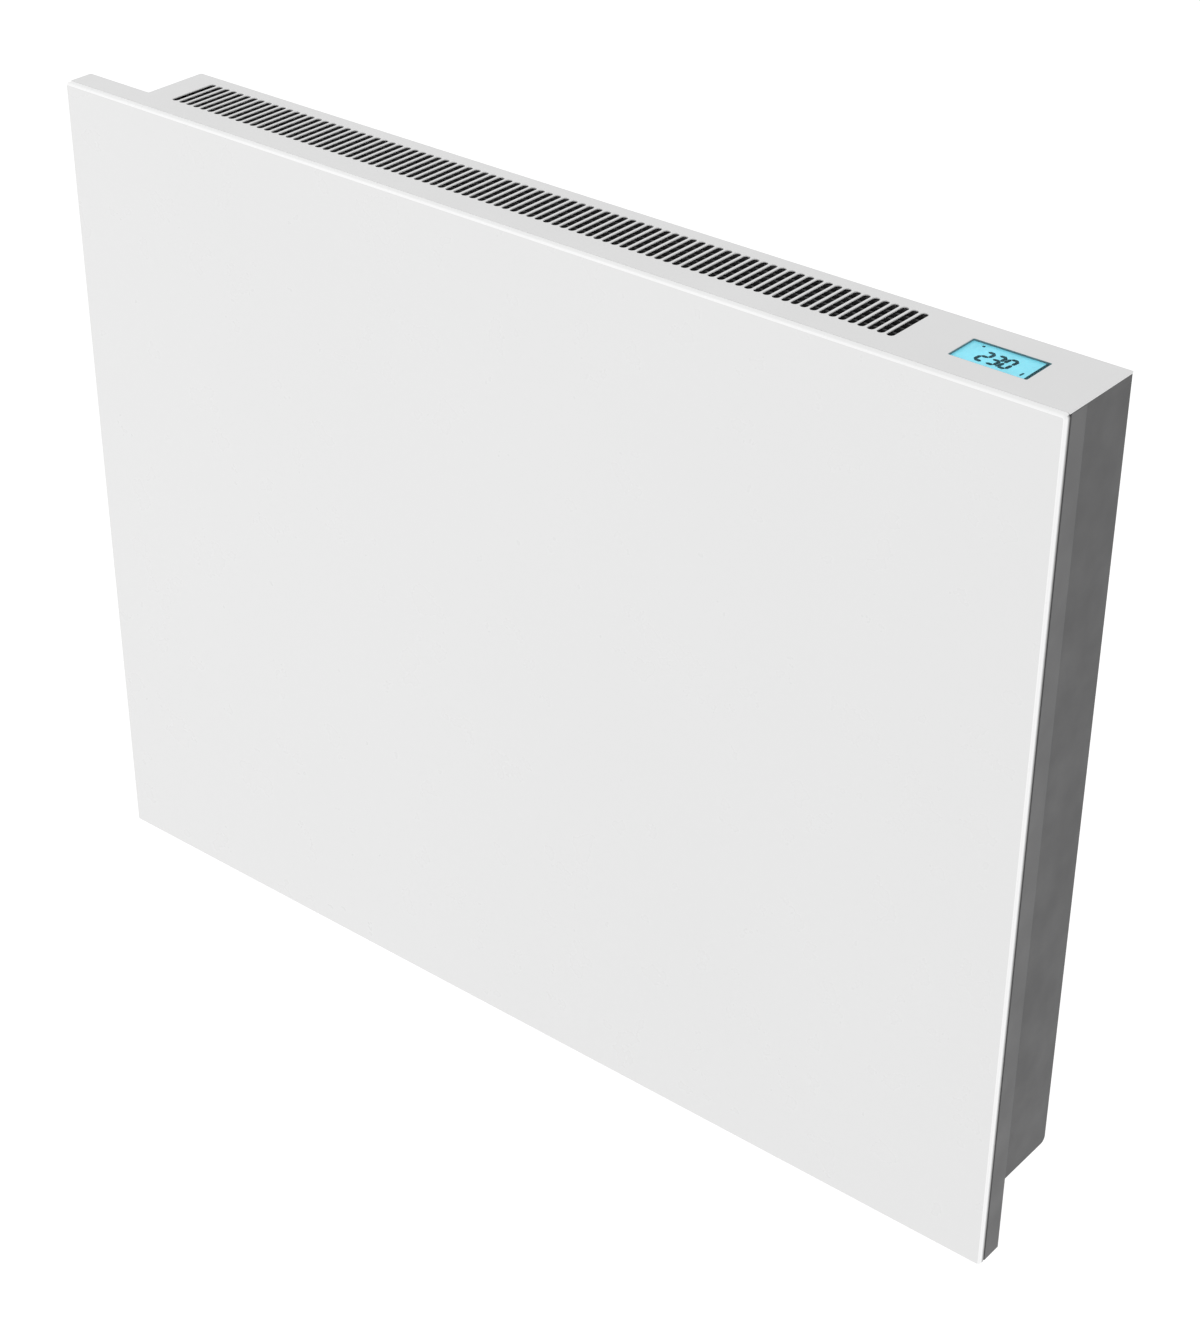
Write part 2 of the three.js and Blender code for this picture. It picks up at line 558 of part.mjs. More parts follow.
// The top: one white plate over the tray and the case, with the outlet slots, the display window
// and a flange down behind the rear cover.
function topCover() {
  const shape = polygon([
    [TRAY_LEFT, Y_GLASS_BACK + GAP], [TRAY_RIGHT, Y_GLASS_BACK + GAP], [TRAY_RIGHT, Y_BACK],
    [X_CASE_LEFT, Y_BACK], [X_CASE_LEFT, Y_TRAY_BACK], [TRAY_LEFT, Y_TRAY_BACK]]);
  const first = X_CASE_LEFT + SLOTS_FROM_CASE_LEFT;
  const count = Math.floor((X_PARTITION - SLOTS_FROM_PARTITION - first) / SLOT_PITCH) + 1;
  const [yFront, yRear] = [Y_CASE_FRONT + SLOT_FRONT_MARGIN, Y_BACK - SLOT_REAR_MARGIN];
  for (let i = 0; i < count; i++) {
    const place = [first + i * SLOT_PITCH, (yFront + yRear) / 2, SLOT_W, yRear - yFront];
    shape.holes.push(slotOutline(new THREE.Path(), ...place));
  }
  const opening = [X_DISPLAY, Y_DISPLAY, WINDOW_W, WINDOW_L, WINDOW_CORNER_R];
  shape.holes.push(roundedRectangle(new THREE.Path(), ...opening));
  const inset = FLANGE + 2 * GAP;
  const flange = block(
    [X_COVER_LEFT + inset, Y_SEAT - TOP_T, Z_UNDER_TOP - TOP_FLANGE],
    [X_COVER_RIGHT - inset, Y_SEAT, Z_UNDER_TOP + TOP_T / 2]);
  const cover = join(plate(shape, Z_UNDER_TOP, Z_TOP), flange);
  return part('top_cover', cut(cover, ...rearScrewHoles()), WHITE_PAINT);
}

// A pan-head screw. Its head is at +Z, and it stands on the origin.
function screw() {
  return turned([[0, -SCREW_L], [SCREW_R, -SCREW_L], [SCREW_R, 0], [SCREW_HEAD_R, 0],
    [SCREW_CROWN_R, SCREW_HEAD_H], [0, SCREW_HEAD_H]], 10);
}

function screws() {
  const rear = rearScrewPlaces().map(([name, x, z]) =>
    part(name, alongY(screw()), STEEL, [x, Y_BACK + GAP, z]));
  const names = ['left_upper', 'left_lower', 'right_upper', 'right_lower'];
  const front = panelScrewPlaces().map(([x, z], i) =>
    part(`panel_screw_${names[i]}`, alongY(screw()), STEEL, [x, Y_CASE_FRONT + SHEET + GAP, z]));
  return [...rear, ...front];
}

// The plate between the hot duct and the controls, with flanges on its cool side.
function partition() {
  const flange = PARTITION_FLANGE;
  const section = polygon([[0, Y_CASE_FRONT], [flange, Y_CASE_FRONT], [flange, Y_CASE_FRONT + SHEET],
    [SHEET, Y_CASE_FRONT + SHEET], [SHEET, Y_SEAT - SHEET], [flange, Y_SEAT - SHEET],
    [flange, Y_SEAT], [0, Y_SEAT]]);
  const folded = plate(section, Z_FLOOR + GAP, Z_WALLS_TOP);
  const topFlange = block([-THROUGH, Y_SEAT - SHEET - GAP, Z_UNDER_TOP - TOP_FLANGE - GAP],
    [flange + THROUGH, Y_SEAT + THROUGH, Z_TOP]);
  const bend = block([-THROUGH, Y_BACK - BEND_R - GAP, Z_CASE_BOTTOM],
    [flange + THROUGH, Y_BACK, Z_CASE_BOTTOM + BEND_R + GAP]);
  const hole = alongX(bar(GROMMET_R, -THROUGH, SHEET + THROUGH)).translate(0, Y_GROMMET, Z_GROMMET);
  return part('partition_plate', cut(folded, topFlange, bend, hole), GALVANISED, [X_PARTITION, 0, 0]);
}

// ---------------------------------------------------------------- heating duct

// A shallow pan between two corners, open towards the front (-1) or the back (+1).
function pan([x0, y0, z0], [x1, y1, z1], open) {
  const [inner0, inner1] = open < 0 ? [y0 - THROUGH, y1 - SHIELD_T] : [y0 + SHIELD_T, y1 + THROUGH];
  const hollow = block([x0 + SHIELD_T, inner0, z0 + SHIELD_T], [x1 - SHIELD_T, inner1, z1 - SHIELD_T]);
  return cut(block([x0, y0, z0], [x1, y1, z1]), hollow);
}

// Shields over the tray's web and over the rear cover, each with its rim on what it covers.
function heatShields() {
  const left = X_COVER_LEFT + FLANGE + 2 * GAP;
  const right = X_PARTITION - GAP;
  const front = pan([left, Y_CASE_FRONT, Z_FLOOR + SHEET + 2 * GAP],
    [right, Y_CASE_FRONT + FRONT_SHIELD_D, Z_WALLS_TOP - FRONT_SHIELD_BELOW_TOP], -1);
  const overHooks = RAIL_H / 2 + HOOK_LIP - RAIL_SPACING;
  const overHangers = Z_ROD + HANGER_UP;
  const rear = pan([left, Y_SEAT - REAR_SHIELD_D, Math.max(overHooks, overHangers) + GAP],
    [right, Y_SEAT, RAIL_H / 2 - RAIL_T - 2 * LIFT - GAP], 1);
  return [
    part('front_heat_shield', front, ALUMINIUM),
    part('rear_heat_shield', rear, ALUMINIUM),
  ];
}

// The extruded fins' section about the rod's axis: four arms, each with a short upright branch.
function finSection() {
  const arm = (length) => block([0, -FIN_T / 2, 0], [length, FIN_T / 2, 1]);
  const lean = THREE.MathUtils.degToRad(FIN_LEAN);
  const pieces = [bar(CORE_R, 0, 1)];
  for (const angle of [lean, Math.PI - lean, Math.PI + lean, -lean]) {
    const fork = FIN_FORK;
    const [x, y] = [Math.cos(angle) * fork, Math.sin(angle) * fork];
    pieces.push(arm(FIN_REACH).rotateZ(angle));
    pieces.push(arm(FIN_REACH - fork).rotateZ(Math.sign(y) * Math.PI / 2).translate(x, y, 0));
  }
  return cut(join(...pieces), bar(ROD_R + GAP, -THROUGH, 1 + THROUGH));
}

// A ceramic bush along +X that stands through a hanger whose inner face is at x = 0.
function bush() {
  const inner = ROD_R + GAP;
  const [start, end] = [-GAP - BUSH_HEAD_T, SHEET + GAP + BUSH_TAIL];
  return alongX(turned([[inner, start], [BUSH_R + BUSH_HEAD, start], [BUSH_R + BUSH_HEAD, -GAP],
    [BUSH_R, -GAP], [BUSH_R, end], [inner, end], [inner, start]]));
}

// A steel hanger on the rear cover. Its inner face is at x = 0, and it is made on +X.
function hanger() {
  const back = Y_SEAT - Y_ROD;
  const upright = block([0, -HANGER_FRONT, -HANGER_DOWN], [SHEET, back, HANGER_UP]);
  const foot = block([0, back - SHEET, -HANGER_DOWN], [HANGER_FOOT, back, HANGER_UP]);
  return cut(join(upright, foot), alongX(bar(BUSH_R + GAP, -THROUGH, SHEET + THROUGH)));
}

const mirrored = (geometry) => geometry.rotateZ(Math.PI);

// The rod in its fins, carried by two bushes in two hangers. All on the rod's axis.
function heatingElement() {
  const [left, right] = [X_HANGER_LEFT, X_HANGER_RIGHT];
  const head = GAP + BUSH_HEAD_T + FIN_END_CLEAR;
  const fins = alongX(finSection().rotateZ(Math.PI / 2)).scale(right - left - 2 * head, 1, 1);
  const [rodStart, rodEnd] = [left - ROD_PAST_HANGER, right + ROD_PAST_HANGER];
  const rod = join(alongX(bar(ROD_R, rodStart, rodEnd)),
    alongX(bar(ROD_PIN_R, rodStart - ROD_PIN_L, rodEnd + ROD_PIN_L, 8)));
  const leftHanger = hanger().scale(-1, 1, 1);
  return groupAt([0, Y_ROD, Z_ROD],
    part('element_fins', fins, ALUMINIUM, [left + head, 0, 0]),
    part('element_rod', rod, STEEL),
    part('element_bush_left', mirrored(bush()), CERAMIC, [left, 0, 0]),
    part('element_bush_right', bush(), CERAMIC, [right, 0, 0]),
    part('element_hanger_left', flipped(leftHanger), GALVANISED, [left, 0, 0]),
    part('element_hanger_right', hanger(), GALVANISED, [right, 0, 0]));
}

// Turns the triangles of a mirrored geometry the right way round again.
function flipped(geometry) {
  const order = geometry.index.array.slice();
  for (let i = 0; i < order.length; i += 3) {
    [order[i], order[i + 1]] = [order[i + 1], order[i]];
  }
  return geometry.setIndex(new THREE.BufferAttribute(order, 1));
}

// A bimetal cut-out on the outer face of the right hanger, above the rod.
function thermalCutout() {
  const disc = turned([[0, 0], [CUTOUT_R, 0], [CUTOUT_R, CUTOUT_RIM_H], [CUTOUT_CAP_R, CUTOUT_RIM_H],
    [CUTOUT_CAP_R, CUTOUT_CAP_H], [0, CUTOUT_CAP_H]]);
  return part('thermal_cutout', alongX(disc), BLACK_PLASTIC,
    [X_HANGER_RIGHT + SHEET + GAP, Y_ROD, Z_ROD + CUTOUT_ABOVE_ROD]);
}

// ---------------------------------------------------------------- display and controls

// Heights below the top cover's underside, from the lens down.
const LENS_TOP = TOP_T - GAP;
const LCD_TOP = LENS_TOP - LENS_T - GAP;
const CONTROL_BOARD_TOP = LCD_TOP - LCD_T - GAP;
const LEDGE_TOP = CONTROL_BOARD_TOP - BOARD_T - GAP;
const POWER_BOARD_TOP = -HOUSING_H + HOUSING_WALL + GAP + BOARD_T;
const HOUSING_INNER_W = HOUSING_W - 2 * HOUSING_WALL;
const HOUSING_INNER_D = HOUSING_D - 2 * HOUSING_WALL;
const WIRE_WINDOW_W = 26;
const WIRE_WINDOW_H = 8;
const WIRE_WINDOW_Z = POWER_BOARD_TOP;

const slab = (name, w, d, z0, z1, material) =>
  part(name, block([-w / 2, -d / 2, z0], [w / 2, d / 2, z1]), material);

// A frame round the display, against the underside of the top cover.
function bezel() {
  const [w, d] = [LCD_W + 2 * GAP, LCD_L + 2 * GAP];
  const outer = block([-w / 2 - BEZEL_WALL, -d / 2 - BEZEL_WALL, CONTROL_BOARD_TOP + GAP],
    [w / 2 + BEZEL_WALL, d / 2 + BEZEL_WALL, -GAP]);
  return part('display_bezel',
    cut(outer, block([-w / 2, -d / 2, CONTROL_BOARD_TOP], [w / 2, d / 2, THROUGH])), BLACK_PLASTIC);
}

// A deep box, open at the top, with a ledge for the control board and a window for the wires.
function controlHousing() {
  const [w, d] = [HOUSING_W / 2, HOUSING_D / 2];
  const [innerW, innerD] = [HOUSING_INNER_W / 2, HOUSING_INNER_D / 2];
  const [deepW, deepD] = [innerW - HOUSING_LEDGE, innerD - HOUSING_LEDGE];
  const box = block([-w, -d, -HOUSING_H], [w, d, -GAP]);
  const shelf = block([-innerW, -innerD, LEDGE_TOP], [innerW, innerD, THROUGH]);
  const well = block([-deepW, -deepD, -HOUSING_H + HOUSING_WALL], [deepW, deepD, THROUGH]);
  const window = block([-WIRE_WINDOW_W / 2, 0, WIRE_WINDOW_Z],
    [WIRE_WINDOW_W / 2, d + THROUGH, WIRE_WINDOW_Z + WIRE_WINDOW_H]);
  return part('control_housing', cut(box, shelf, well, window), BLACK_PLASTIC);
}

// The lower board with its relay, its capacitor and the header that the wires plug into.
function powerBoard() {
  const [w, d] = [HOUSING_INNER_W - 2 * (HOUSING_LEDGE + GAP), HOUSING_INNER_D - 2 * (HOUSING_LEDGE + GAP)];
  const [x, y] = [w / 2, d / 2];
  const base = POWER_BOARD_TOP - BOARD_T;
  const seat = base + BOARD_T / 2;
  const header = WIRE_WINDOW_W / 2 - BOARD_MARGIN;
  const rear = y - HEADER_D - BOARD_MARGIN;
  return part('power_board', join(
    block([-x, -y, base], [x, y, POWER_BOARD_TOP]),
    block([BOARD_MARGIN - x, BOARD_MARGIN - y, seat],
      [BOARD_MARGIN - x + RELAY_W, rear, POWER_BOARD_TOP + RELAY_H]),
    block([x - BOARD_MARGIN - CAPACITOR_W, BOARD_MARGIN - y, seat],
      [x - BOARD_MARGIN, rear, POWER_BOARD_TOP + CAPACITOR_H]),
    block([-header, y - HEADER_D, seat], [header, y, POWER_BOARD_TOP + WIRE_WINDOW_H])), BOARD_GREEN);
}

function displayUnit() {
  const [w, d] = [HOUSING_INNER_W - 2 * GAP, HOUSING_INNER_D - 2 * GAP];
  return groupAt([X_DISPLAY, Y_DISPLAY, Z_UNDER_TOP],
    slab('display_lens', WINDOW_W - 2 * GAP, WINDOW_L - 2 * GAP, LENS_TOP - LENS_T, LENS_TOP, CLEAR_LENS),
    slab('lcd_panel', LCD_W, LCD_L, LCD_TOP - LCD_T, LCD_TOP, CYAN_DISPLAY),
    slab('control_board', w, d, CONTROL_BOARD_TOP - BOARD_T, CONTROL_BOARD_TOP, BOARD_GREEN),
    bezel(), controlHousing(), powerBoard());
}

// ---------------------------------------------------------------- mains switch and cable entry

const PIVOT_ABOVE_RIM = 3; // the rocker's pivot, above the rim's underside
const ROCKER_MIDDLE = 2.6; // the rocker's face at its middle, below the pivot
const ROCKER_HUB_R = 2.8;

// The rocker's section about its pivot: two faces that meet in a shallow V, under a round hub.
function rockerSection() {
  const half = ROCKER_W / 2;
  const drop = half * Math.tan(THREE.MathUtils.degToRad(ROCKER_TILT));
  const end = -ROCKER_MIDDLE - drop;
  const section = new THREE.Shape();
  section.moveTo(0, -ROCKER_MIDDLE);
  section.lineTo(half, end);
  section.lineTo(half, end + ROCKER_T);
  section.absarc(0, 0, ROCKER_HUB_R, 0, Math.PI);
  section.lineTo(-half, end + ROCKER_T);
  section.lineTo(-half, end);
  return section;
}

// A snap-in switch, seen from below. Its rocker is pressed in at the right end.
function mainsSwitch() {
  const pivotZ = -GAP - SWITCH_RIM_T + PIVOT_ABOVE_RIM;
  const [rimX, rimY] = [SWITCH_W / 2 + SWITCH_RIM, SWITCH_D / 2 + SWITCH_RIM];
  const box = join(
    block([-SWITCH_W / 2, -SWITCH_D / 2, -GAP - SWITCH_RIM_T], [SWITCH_W / 2, SWITCH_D / 2, SWITCH_H]),
    block([-rimX, -rimY, -GAP - SWITCH_RIM_T], [rimX, rimY, -GAP]),
    ...[-BLADE_PITCH, 0, BLADE_PITCH].map((x) => block(
      [x - BLADE_T / 2, -BLADE_W / 2, SWITCH_H - BLADE_T],
      [x + BLADE_T / 2, BLADE_W / 2, SWITCH_H + BLADE_L])));
  const wellX = ROCKER_W / 2 + ROCKER_END_CLEAR;
  const wellY = ROCKER_D / 2 + ROCKER_SIDE_CLEAR;
  const well = block([-wellX, -wellY, -SWITCH_RIM_T - THROUGH], [wellX, wellY, SWITCH_H / 2]);
  const bearing = ROCKER_D / 2 + PIVOT_REACH + GAP;
  const bores = alongY(bar(PIVOT_R + GAP, -bearing, bearing)).translate(0, 0, pivotZ);
  const reach = ROCKER_D / 2 + PIVOT_REACH;
  const paddle = join(
    plate(rockerSection(), -ROCKER_D / 2, ROCKER_D / 2, 4).rotateX(Math.PI / 2),
    alongY(bar(PIVOT_R, -reach, reach)));
  const rocker = groupAt([0, 0, pivotZ], part('power_rocker', paddle, BLACK_PLASTIC));
  rocker.rotation.y = THREE.MathUtils.degToRad(-ROCKER_TILT);
  return groupAt([X_SWITCH, Y_CASE_MIDDLE, Z_CASE_BOTTOM],
    part('switch_body', cut(box, well, bores), BLACK_PLASTIC), rocker);
}

// The cable gland from below, and its nut inside the case.
function cableEntry() {
  const tailEnd = -GLAND_L;
  const shoulder = -GAP - GLAND_HEAD_T;
  const capEnd = shoulder - GLAND_CAP_L;
  const gland = turned([[GLAND_BORE_R, tailEnd], [GLAND_TAIL_R, tailEnd], [GLAND_CAP_R, capEnd],
    [GLAND_CAP_R, shoulder], [GLAND_R, shoulder], [GLAND_R, -GAP], [GLAND_THREAD_R, -GAP],
    [GLAND_THREAD_R, GLAND_THREAD_L], [GLAND_BORE_R, GLAND_THREAD_L], [GLAND_BORE_R, tailEnd]]);
  const nutBase = SHEET + GAP;
  const nut = cut(bar(GLAND_NUT_R, nutBase, nutBase + GLAND_NUT_T, 6),
    bar(GLAND_THREAD_R + GAP, 0, nutBase + GLAND_NUT_T + THROUGH));
  return groupAt([X_GLAND, Y_CASE_MIDDLE, Z_CASE_BOTTOM],
    part('cable_gland', gland, BLACK_PLASTIC), part('gland_nut', nut, BLACK_PLASTIC));
}

// Halfway between the cable entry and the switch.
function xSensor() {
  return (X_GLAND + GLAND_NUT_R + X_SWITCH - SWITCH_W / 2 - SWITCH_RIM) / 2;
}

// The room sensor hangs through the bottom, on its own head.
function roomSensor() {
  const headBase = SHEET + GAP;
  const probe = turned([[0, -SENSOR_DROP], [SENSOR_TIP_R, -SENSOR_DROP],
    [SENSOR_R, SENSOR_R - SENSOR_TIP_R - SENSOR_DROP], [SENSOR_R, headBase],
    [SENSOR_HEAD_R, headBase], [SENSOR_HEAD_R, headBase + SENSOR_HEAD_T],
    [0, headBase + SENSOR_HEAD_T]], 12);
  return part('room_sensor', probe, WHITE_PLASTIC, [xSensor(), Y_CASE_MIDDLE, Z_CASE_BOTTOM]);
}

// ---------------------------------------------------------------- terminals and wires

const TERMINAL_STEPS = [-TERMINAL_PITCH, 0, TERMINAL_PITCH];
const POCKET_W = 7;
const POCKET_DEPTH = 3.6; // of the pockets' floor, below the block's middle

function terminals() {
  const [w, h] = [TERMINAL_W / 2, TERMINAL_H / 2];
  const pocket = POCKET_W / 2;
  const pockets = TERMINAL_STEPS.map((x) =>
    block([x - pocket, -TERMINAL_D - THROUGH, -POCKET_DEPTH], [x + pocket, -TERMINAL_D / 2, h + THROUGH]));
  const body = cut(block([-w, -TERMINAL_D, -h], [w, 0, h]), ...pockets);
  const stud = alongY(bar(STUD_R, -STUD_L, 0, 12));
  const nut = alongY(cut(bar(STUD_NUT_R, -2 * STUD_NUT_T, -STUD_NUT_T, 6),
    bar(STUD_R + GAP, -STUD_L, 0, 12)));
  return [
    part('terminal_block', body, WHITE_PLASTIC, [X_TERMINALS, Y_SEAT, Z_TERMINALS]),
    groupAt([X_STUD, Y_SEAT, Z_TERMINALS], part('earth_stud', stud, STEEL), part('earth_nut', nut, STEEL)),
  ];
}

// A grommet that lines the partition's hole.
function grommet() {
  const inner = GROMMET_R - GROMMET_WALL;
  const [start, end] = [-GAP - GROMMET_LIP_T, SHEET + GAP + GROMMET_LIP_T];
  const groove = GROMMET_R - GAP;
  const ring = turned([[inner, start], [GROMMET_R + GROMMET_LIP, start], [GROMMET_R + GROMMET_LIP, -GAP],
    [groove, -GAP], [groove, SHEET + GAP], [GROMMET_R + GROMMET_LIP, SHEET + GAP],
    [GROMMET_R + GROMMET_LIP, end], [inner, end], [inner, start]]);
  return part('wire_grommet', alongX(ring), BLACK_PLASTIC, [X_PARTITION, Y_GROMMET, Z_GROMMET]);
}

// The heater's own wiring, held inside the case.
function wires() {
  const zPocket = Z_TERMINALS - POCKET_DEPTH + GAP;
  const zOver = Z_TERMINALS + TERMINAL_H / 2;
  const yPocket = Y_SEAT - TERMINAL_D * 0.75;
  const [xLive, xNeutral, xEarth] = TERMINAL_STEPS.map((x) => X_TERMINALS + x);
  const zBlade = Z_CASE_BOTTOM + SWITCH_H + BLADE_L + GAP;
  const [xBladeIn, xBladeOut] = [X_SWITCH - BLADE_PITCH, X_SWITCH + BLADE_PITCH];
  const yBlade = Y_CASE_MIDDLE;
  const yDoor = Y_DISPLAY + HOUSING_D / 2;
  const yBoard = Y_DISPLAY + HOUSING_INNER_D / 2 - HOUSING_LEDGE;
  const zDoor = Z_UNDER_TOP + WIRE_WINDOW_Z + WIRE_WINDOW_H / 2;
  const yRun = Y_SEAT - 6;
  const xPinRight = X_HANGER_RIGHT + ROD_PAST_HANGER + ROD_PIN_L + GAP + WIRE_R;
  const xPinLeft = X_HANGER_LEFT - ROD_PAST_HANGER - ROD_PIN_L - GAP - WIRE_R;
  const xCutout = X_HANGER_RIGHT + SHEET + 2 * GAP + CUTOUT_CAP_H;
  const zCutout = Z_ROD + CUTOUT_ABOVE_ROD;
  return [
    wire('wire_live', BROWN_WIRE, [
      [xLive, yPocket, zPocket], [xLive, yPocket, zOver + 6], [xLive + 8, yPocket - 6, zOver + 18],
      [xBladeIn - 6, yBlade, zOver + 14], [xBladeIn, yBlade, zBlade + 26], [xBladeIn, yBlade, zBlade]]),
    wire('wire_switched', BROWN_WIRE, [
      [xBladeOut, yBlade, zBlade], [xBladeOut, yBlade, zBlade + 30],
      [xBladeOut + 2, yRun - 8, zBlade + 130], [xBladeOut - 14, yRun, zDoor - 90],
      [X_DISPLAY + 8, yRun - 1, zDoor - 26], [X_DISPLAY + 8, yDoor + 5, zDoor - 5],
      [X_DISPLAY + 8, yDoor + 1, zDoor], [X_DISPLAY + 8, yBoard, zDoor]]),
    wire('wire_neutral', BLUE_WIRE, [
      [xNeutral, yPocket + 1.7, zPocket], [xNeutral, yPocket + 1.7, zOver + 10],
      [xNeutral, yRun, zOver + 160], [X_DISPLAY, yRun - 1, zDoor - 26],
      [X_DISPLAY, yDoor + 5, zDoor - 6], [X_DISPLAY, yDoor + 1, zDoor], [X_DISPLAY, yBoard, zDoor]]),
    wire('wire_load', BROWN_WIRE, [
      [X_DISPLAY - 8, yBoard, zDoor], [X_DISPLAY - 8, yDoor + 1, zDoor],
      [X_DISPLAY - 8, yDoor + 5, zDoor - 6], [X_DISPLAY - 10, yRun - 1, zDoor - 26],
      [X_PARTITION + 16, Y_GROMMET, zDoor - 90], [X_PARTITION + 12, Y_GROMMET, Z_GROMMET + 60],
      [X_PARTITION + 10, Y_GROMMET, Z_GROMMET + 10],
      [X_PARTITION + 5, Y_GROMMET, Z_GROMMET + 1.8], [X_PARTITION - 3, Y_GROMMET, Z_GROMMET + 1.8],
      [X_PARTITION - 6, Y_GROMMET, Z_GROMMET + 14], [X_PARTITION - 4, Y_ROD + 12, Z_ROD + 14],
      [xCutout + 6, Y_ROD + 3, zCutout], [xCutout, Y_ROD + 3, zCutout]]),
    wire('wire_element', BROWN_WIRE, [
      [xCutout, Y_ROD - 3, zCutout], [xCutout + 6, Y_ROD - 3, zCutout],
      [xPinRight + 1, Y_ROD - 3, Z_ROD + 18], [xPinRight, Y_ROD, Z_ROD + 6],
      [xPinRight, Y_ROD, Z_ROD - 1]]),
    wire('wire_return', BLUE_WIRE, [
      [xPinLeft, Y_ROD, Z_ROD + 1], [xPinLeft, Y_ROD, Z_ROD - 8], [xPinLeft + 2, Y_ROD + 6, Z_ROD - 26],
      [X_HANGER_LEFT + 10, Y_GROMMET, Z_ROD - 50], [X_HANGER_LEFT + 60, Y_GROMMET, Z_GROMMET - 1.8],
      [0, Y_GROMMET, Z_GROMMET - 1.8], [X_HANGER_RIGHT - 20, Y_GROMMET, Z_GROMMET - 1.8],
      [X_PARTITION + 4, Y_GROMMET, Z_GROMMET - 1.8], [X_PARTITION + 10, Y_GROMMET - 4, Z_GROMMET + 3],
      [X_PARTITION + 12, Y_GROMMET - 12, Z_TERMINALS - 6], [xNeutral - 10, yPocket - 10, zOver + 6],
      [xNeutral - 2, yPocket - 4, zOver + 9], [xNeutral, yPocket - 1.7, zOver + 4],
      [xNeutral, yPocket - 1.7, zPocket]]),
    wire('wire_earth', EARTH_WIRE, [
      [xEarth, yPocket, zPocket], [xEarth, yPocket, zOver + 4], [xEarth + 6, yPocket + 2, zOver + 11],
      [X_STUD - 2, Y_SEAT - 7, zOver + 6], [X_STUD, Y_SEAT - 4.5, zOver - 1],
      [X_STUD, Y_SEAT - 4.5, Z_TERMINALS + STUD_NUT_R + GAP]]),
  ];
}

// ---------------------------------------------------------------- wall bracket

// A hanging rail: a channel with its web on the wall, and two hooks that reach into the case.
function rail(name, z) {
  const half = RAIL_H / 2;
  const channel = rib(polygon([[0, half], [-RAIL_D, half], [-RAIL_D, half - RAIL_T],
    [-RAIL_T, half - RAIL_T], [-RAIL_T, RAIL_T - half], [-RAIL_D, RAIL_T - half], [-RAIL_D, -half],
    [0, -half]]), -RAIL_L / 2, RAIL_L / 2);
  const lipBack = Y_COVER_IN - 2 * GAP;
  const hooks = [-HOOK_SPACING / 2, HOOK_SPACING / 2].flatMap((x) => [
    block([x - HOOK_W / 2, lipBack - RAIL_T, half - RAIL_T], [x + HOOK_W / 2, -RAIL_T, half]),
    block([x - HOOK_W / 2, lipBack - RAIL_T, half - RAIL_T], [x + HOOK_W / 2, lipBack, half + HOOK_LIP])]);
  const across = (r, spacing) => [-spacing / 2, spacing / 2].map((x) =>
    alongY(bar(r, -RAIL_T - THROUGH, THROUGH, 12)).translate(x, 0, 0));
  const passage = STRAP_W / 2 + STRAP_SIDE_CLEAR;
  const notches = [-STRAP_SPACING / 2, STRAP_SPACING / 2].map((x) =>
    block([x - passage, -RAIL_D - THROUGH, -half - THROUGH], [x + passage, -RAIL_T, half + THROUGH]));
  const holes = [...across(WALL_HOLE_R, WALL_HOLE_SPACING), ...across(RIVET_R + GAP, STRAP_SPACING)];
  const tools = [...holes, ...notches];
  return part(name, cut(join(channel, ...hooks), ...tools), GALVANISED, [0, 0, z]);
}

// Straps that hold the rails at their spacing, with a rivet at each end.
function straps() {
  const reach = RAIL_H / 2 - RAIL_T;
  const front = -RAIL_T - GAP;
  const ends = [['upper', 0], ['lower', -RAIL_SPACING]];
  const head = front - RAIL_T - GAP;
  const rivet = () => alongY(turned([[0, head - RIVET_HEAD_H], [RIVET_CROWN_R, head - RIVET_HEAD_H],
    [RIVET_HEAD_R, head - RIVET_HEAD_H / 2], [RIVET_HEAD_R, head], [RIVET_R, head], [RIVET_R, 0],
    [0, 0]], 12));
  return ['left', 'right'].flatMap((side, i) => {
    const x = (i - 0.5) * STRAP_SPACING;
    const strap = block([-STRAP_W / 2, front - RAIL_T, -RAIL_SPACING - reach], [STRAP_W / 2, front, reach]);
    const holes = ends.map(([, z]) =>
      alongY(bar(RIVET_R + GAP, front - RAIL_T - THROUGH, front + THROUGH, 12)).translate(0, 0, z));
    return [
      part(`bracket_strap_${side}`, cut(strap, ...holes), GALVANISED, [x, 0, 0]),
      ...ends.map(([end, z]) => part(`rivet_${side}_${end}`, rivet(), STEEL, [x, 0, z])),
    ];
  });
}

// ---------------------------------------------------------------- the whole heater

const heater = new THREE.Group();
heater.add(
  rail('upper_rail', 0),
  rail('lower_rail', -RAIL_SPACING),
  ...straps(),
  frontGlass(),
  bondTape(),
  frontTray(),
  insulation(),
  sidePanel('side_panel_left', X_CASE_LEFT, 1),
  sidePanel('side_panel_right', X_CASE_RIGHT, -1),
  rearCover(),
  topCover(),
  partition(),
  ...screws(),
  ...heatShields(),
  heatingElement(),
  thermalCutout(),
  displayUnit(),
  mainsSwitch(),
  cableEntry(),
  roomSensor(),
  ...terminals(),
  grommet(),
  ...wires(),
);

export default heater;
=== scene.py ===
import json
import math

import bpy
from mathutils import Matrix, Vector
from mathutils.geometry import tessellate_polygon


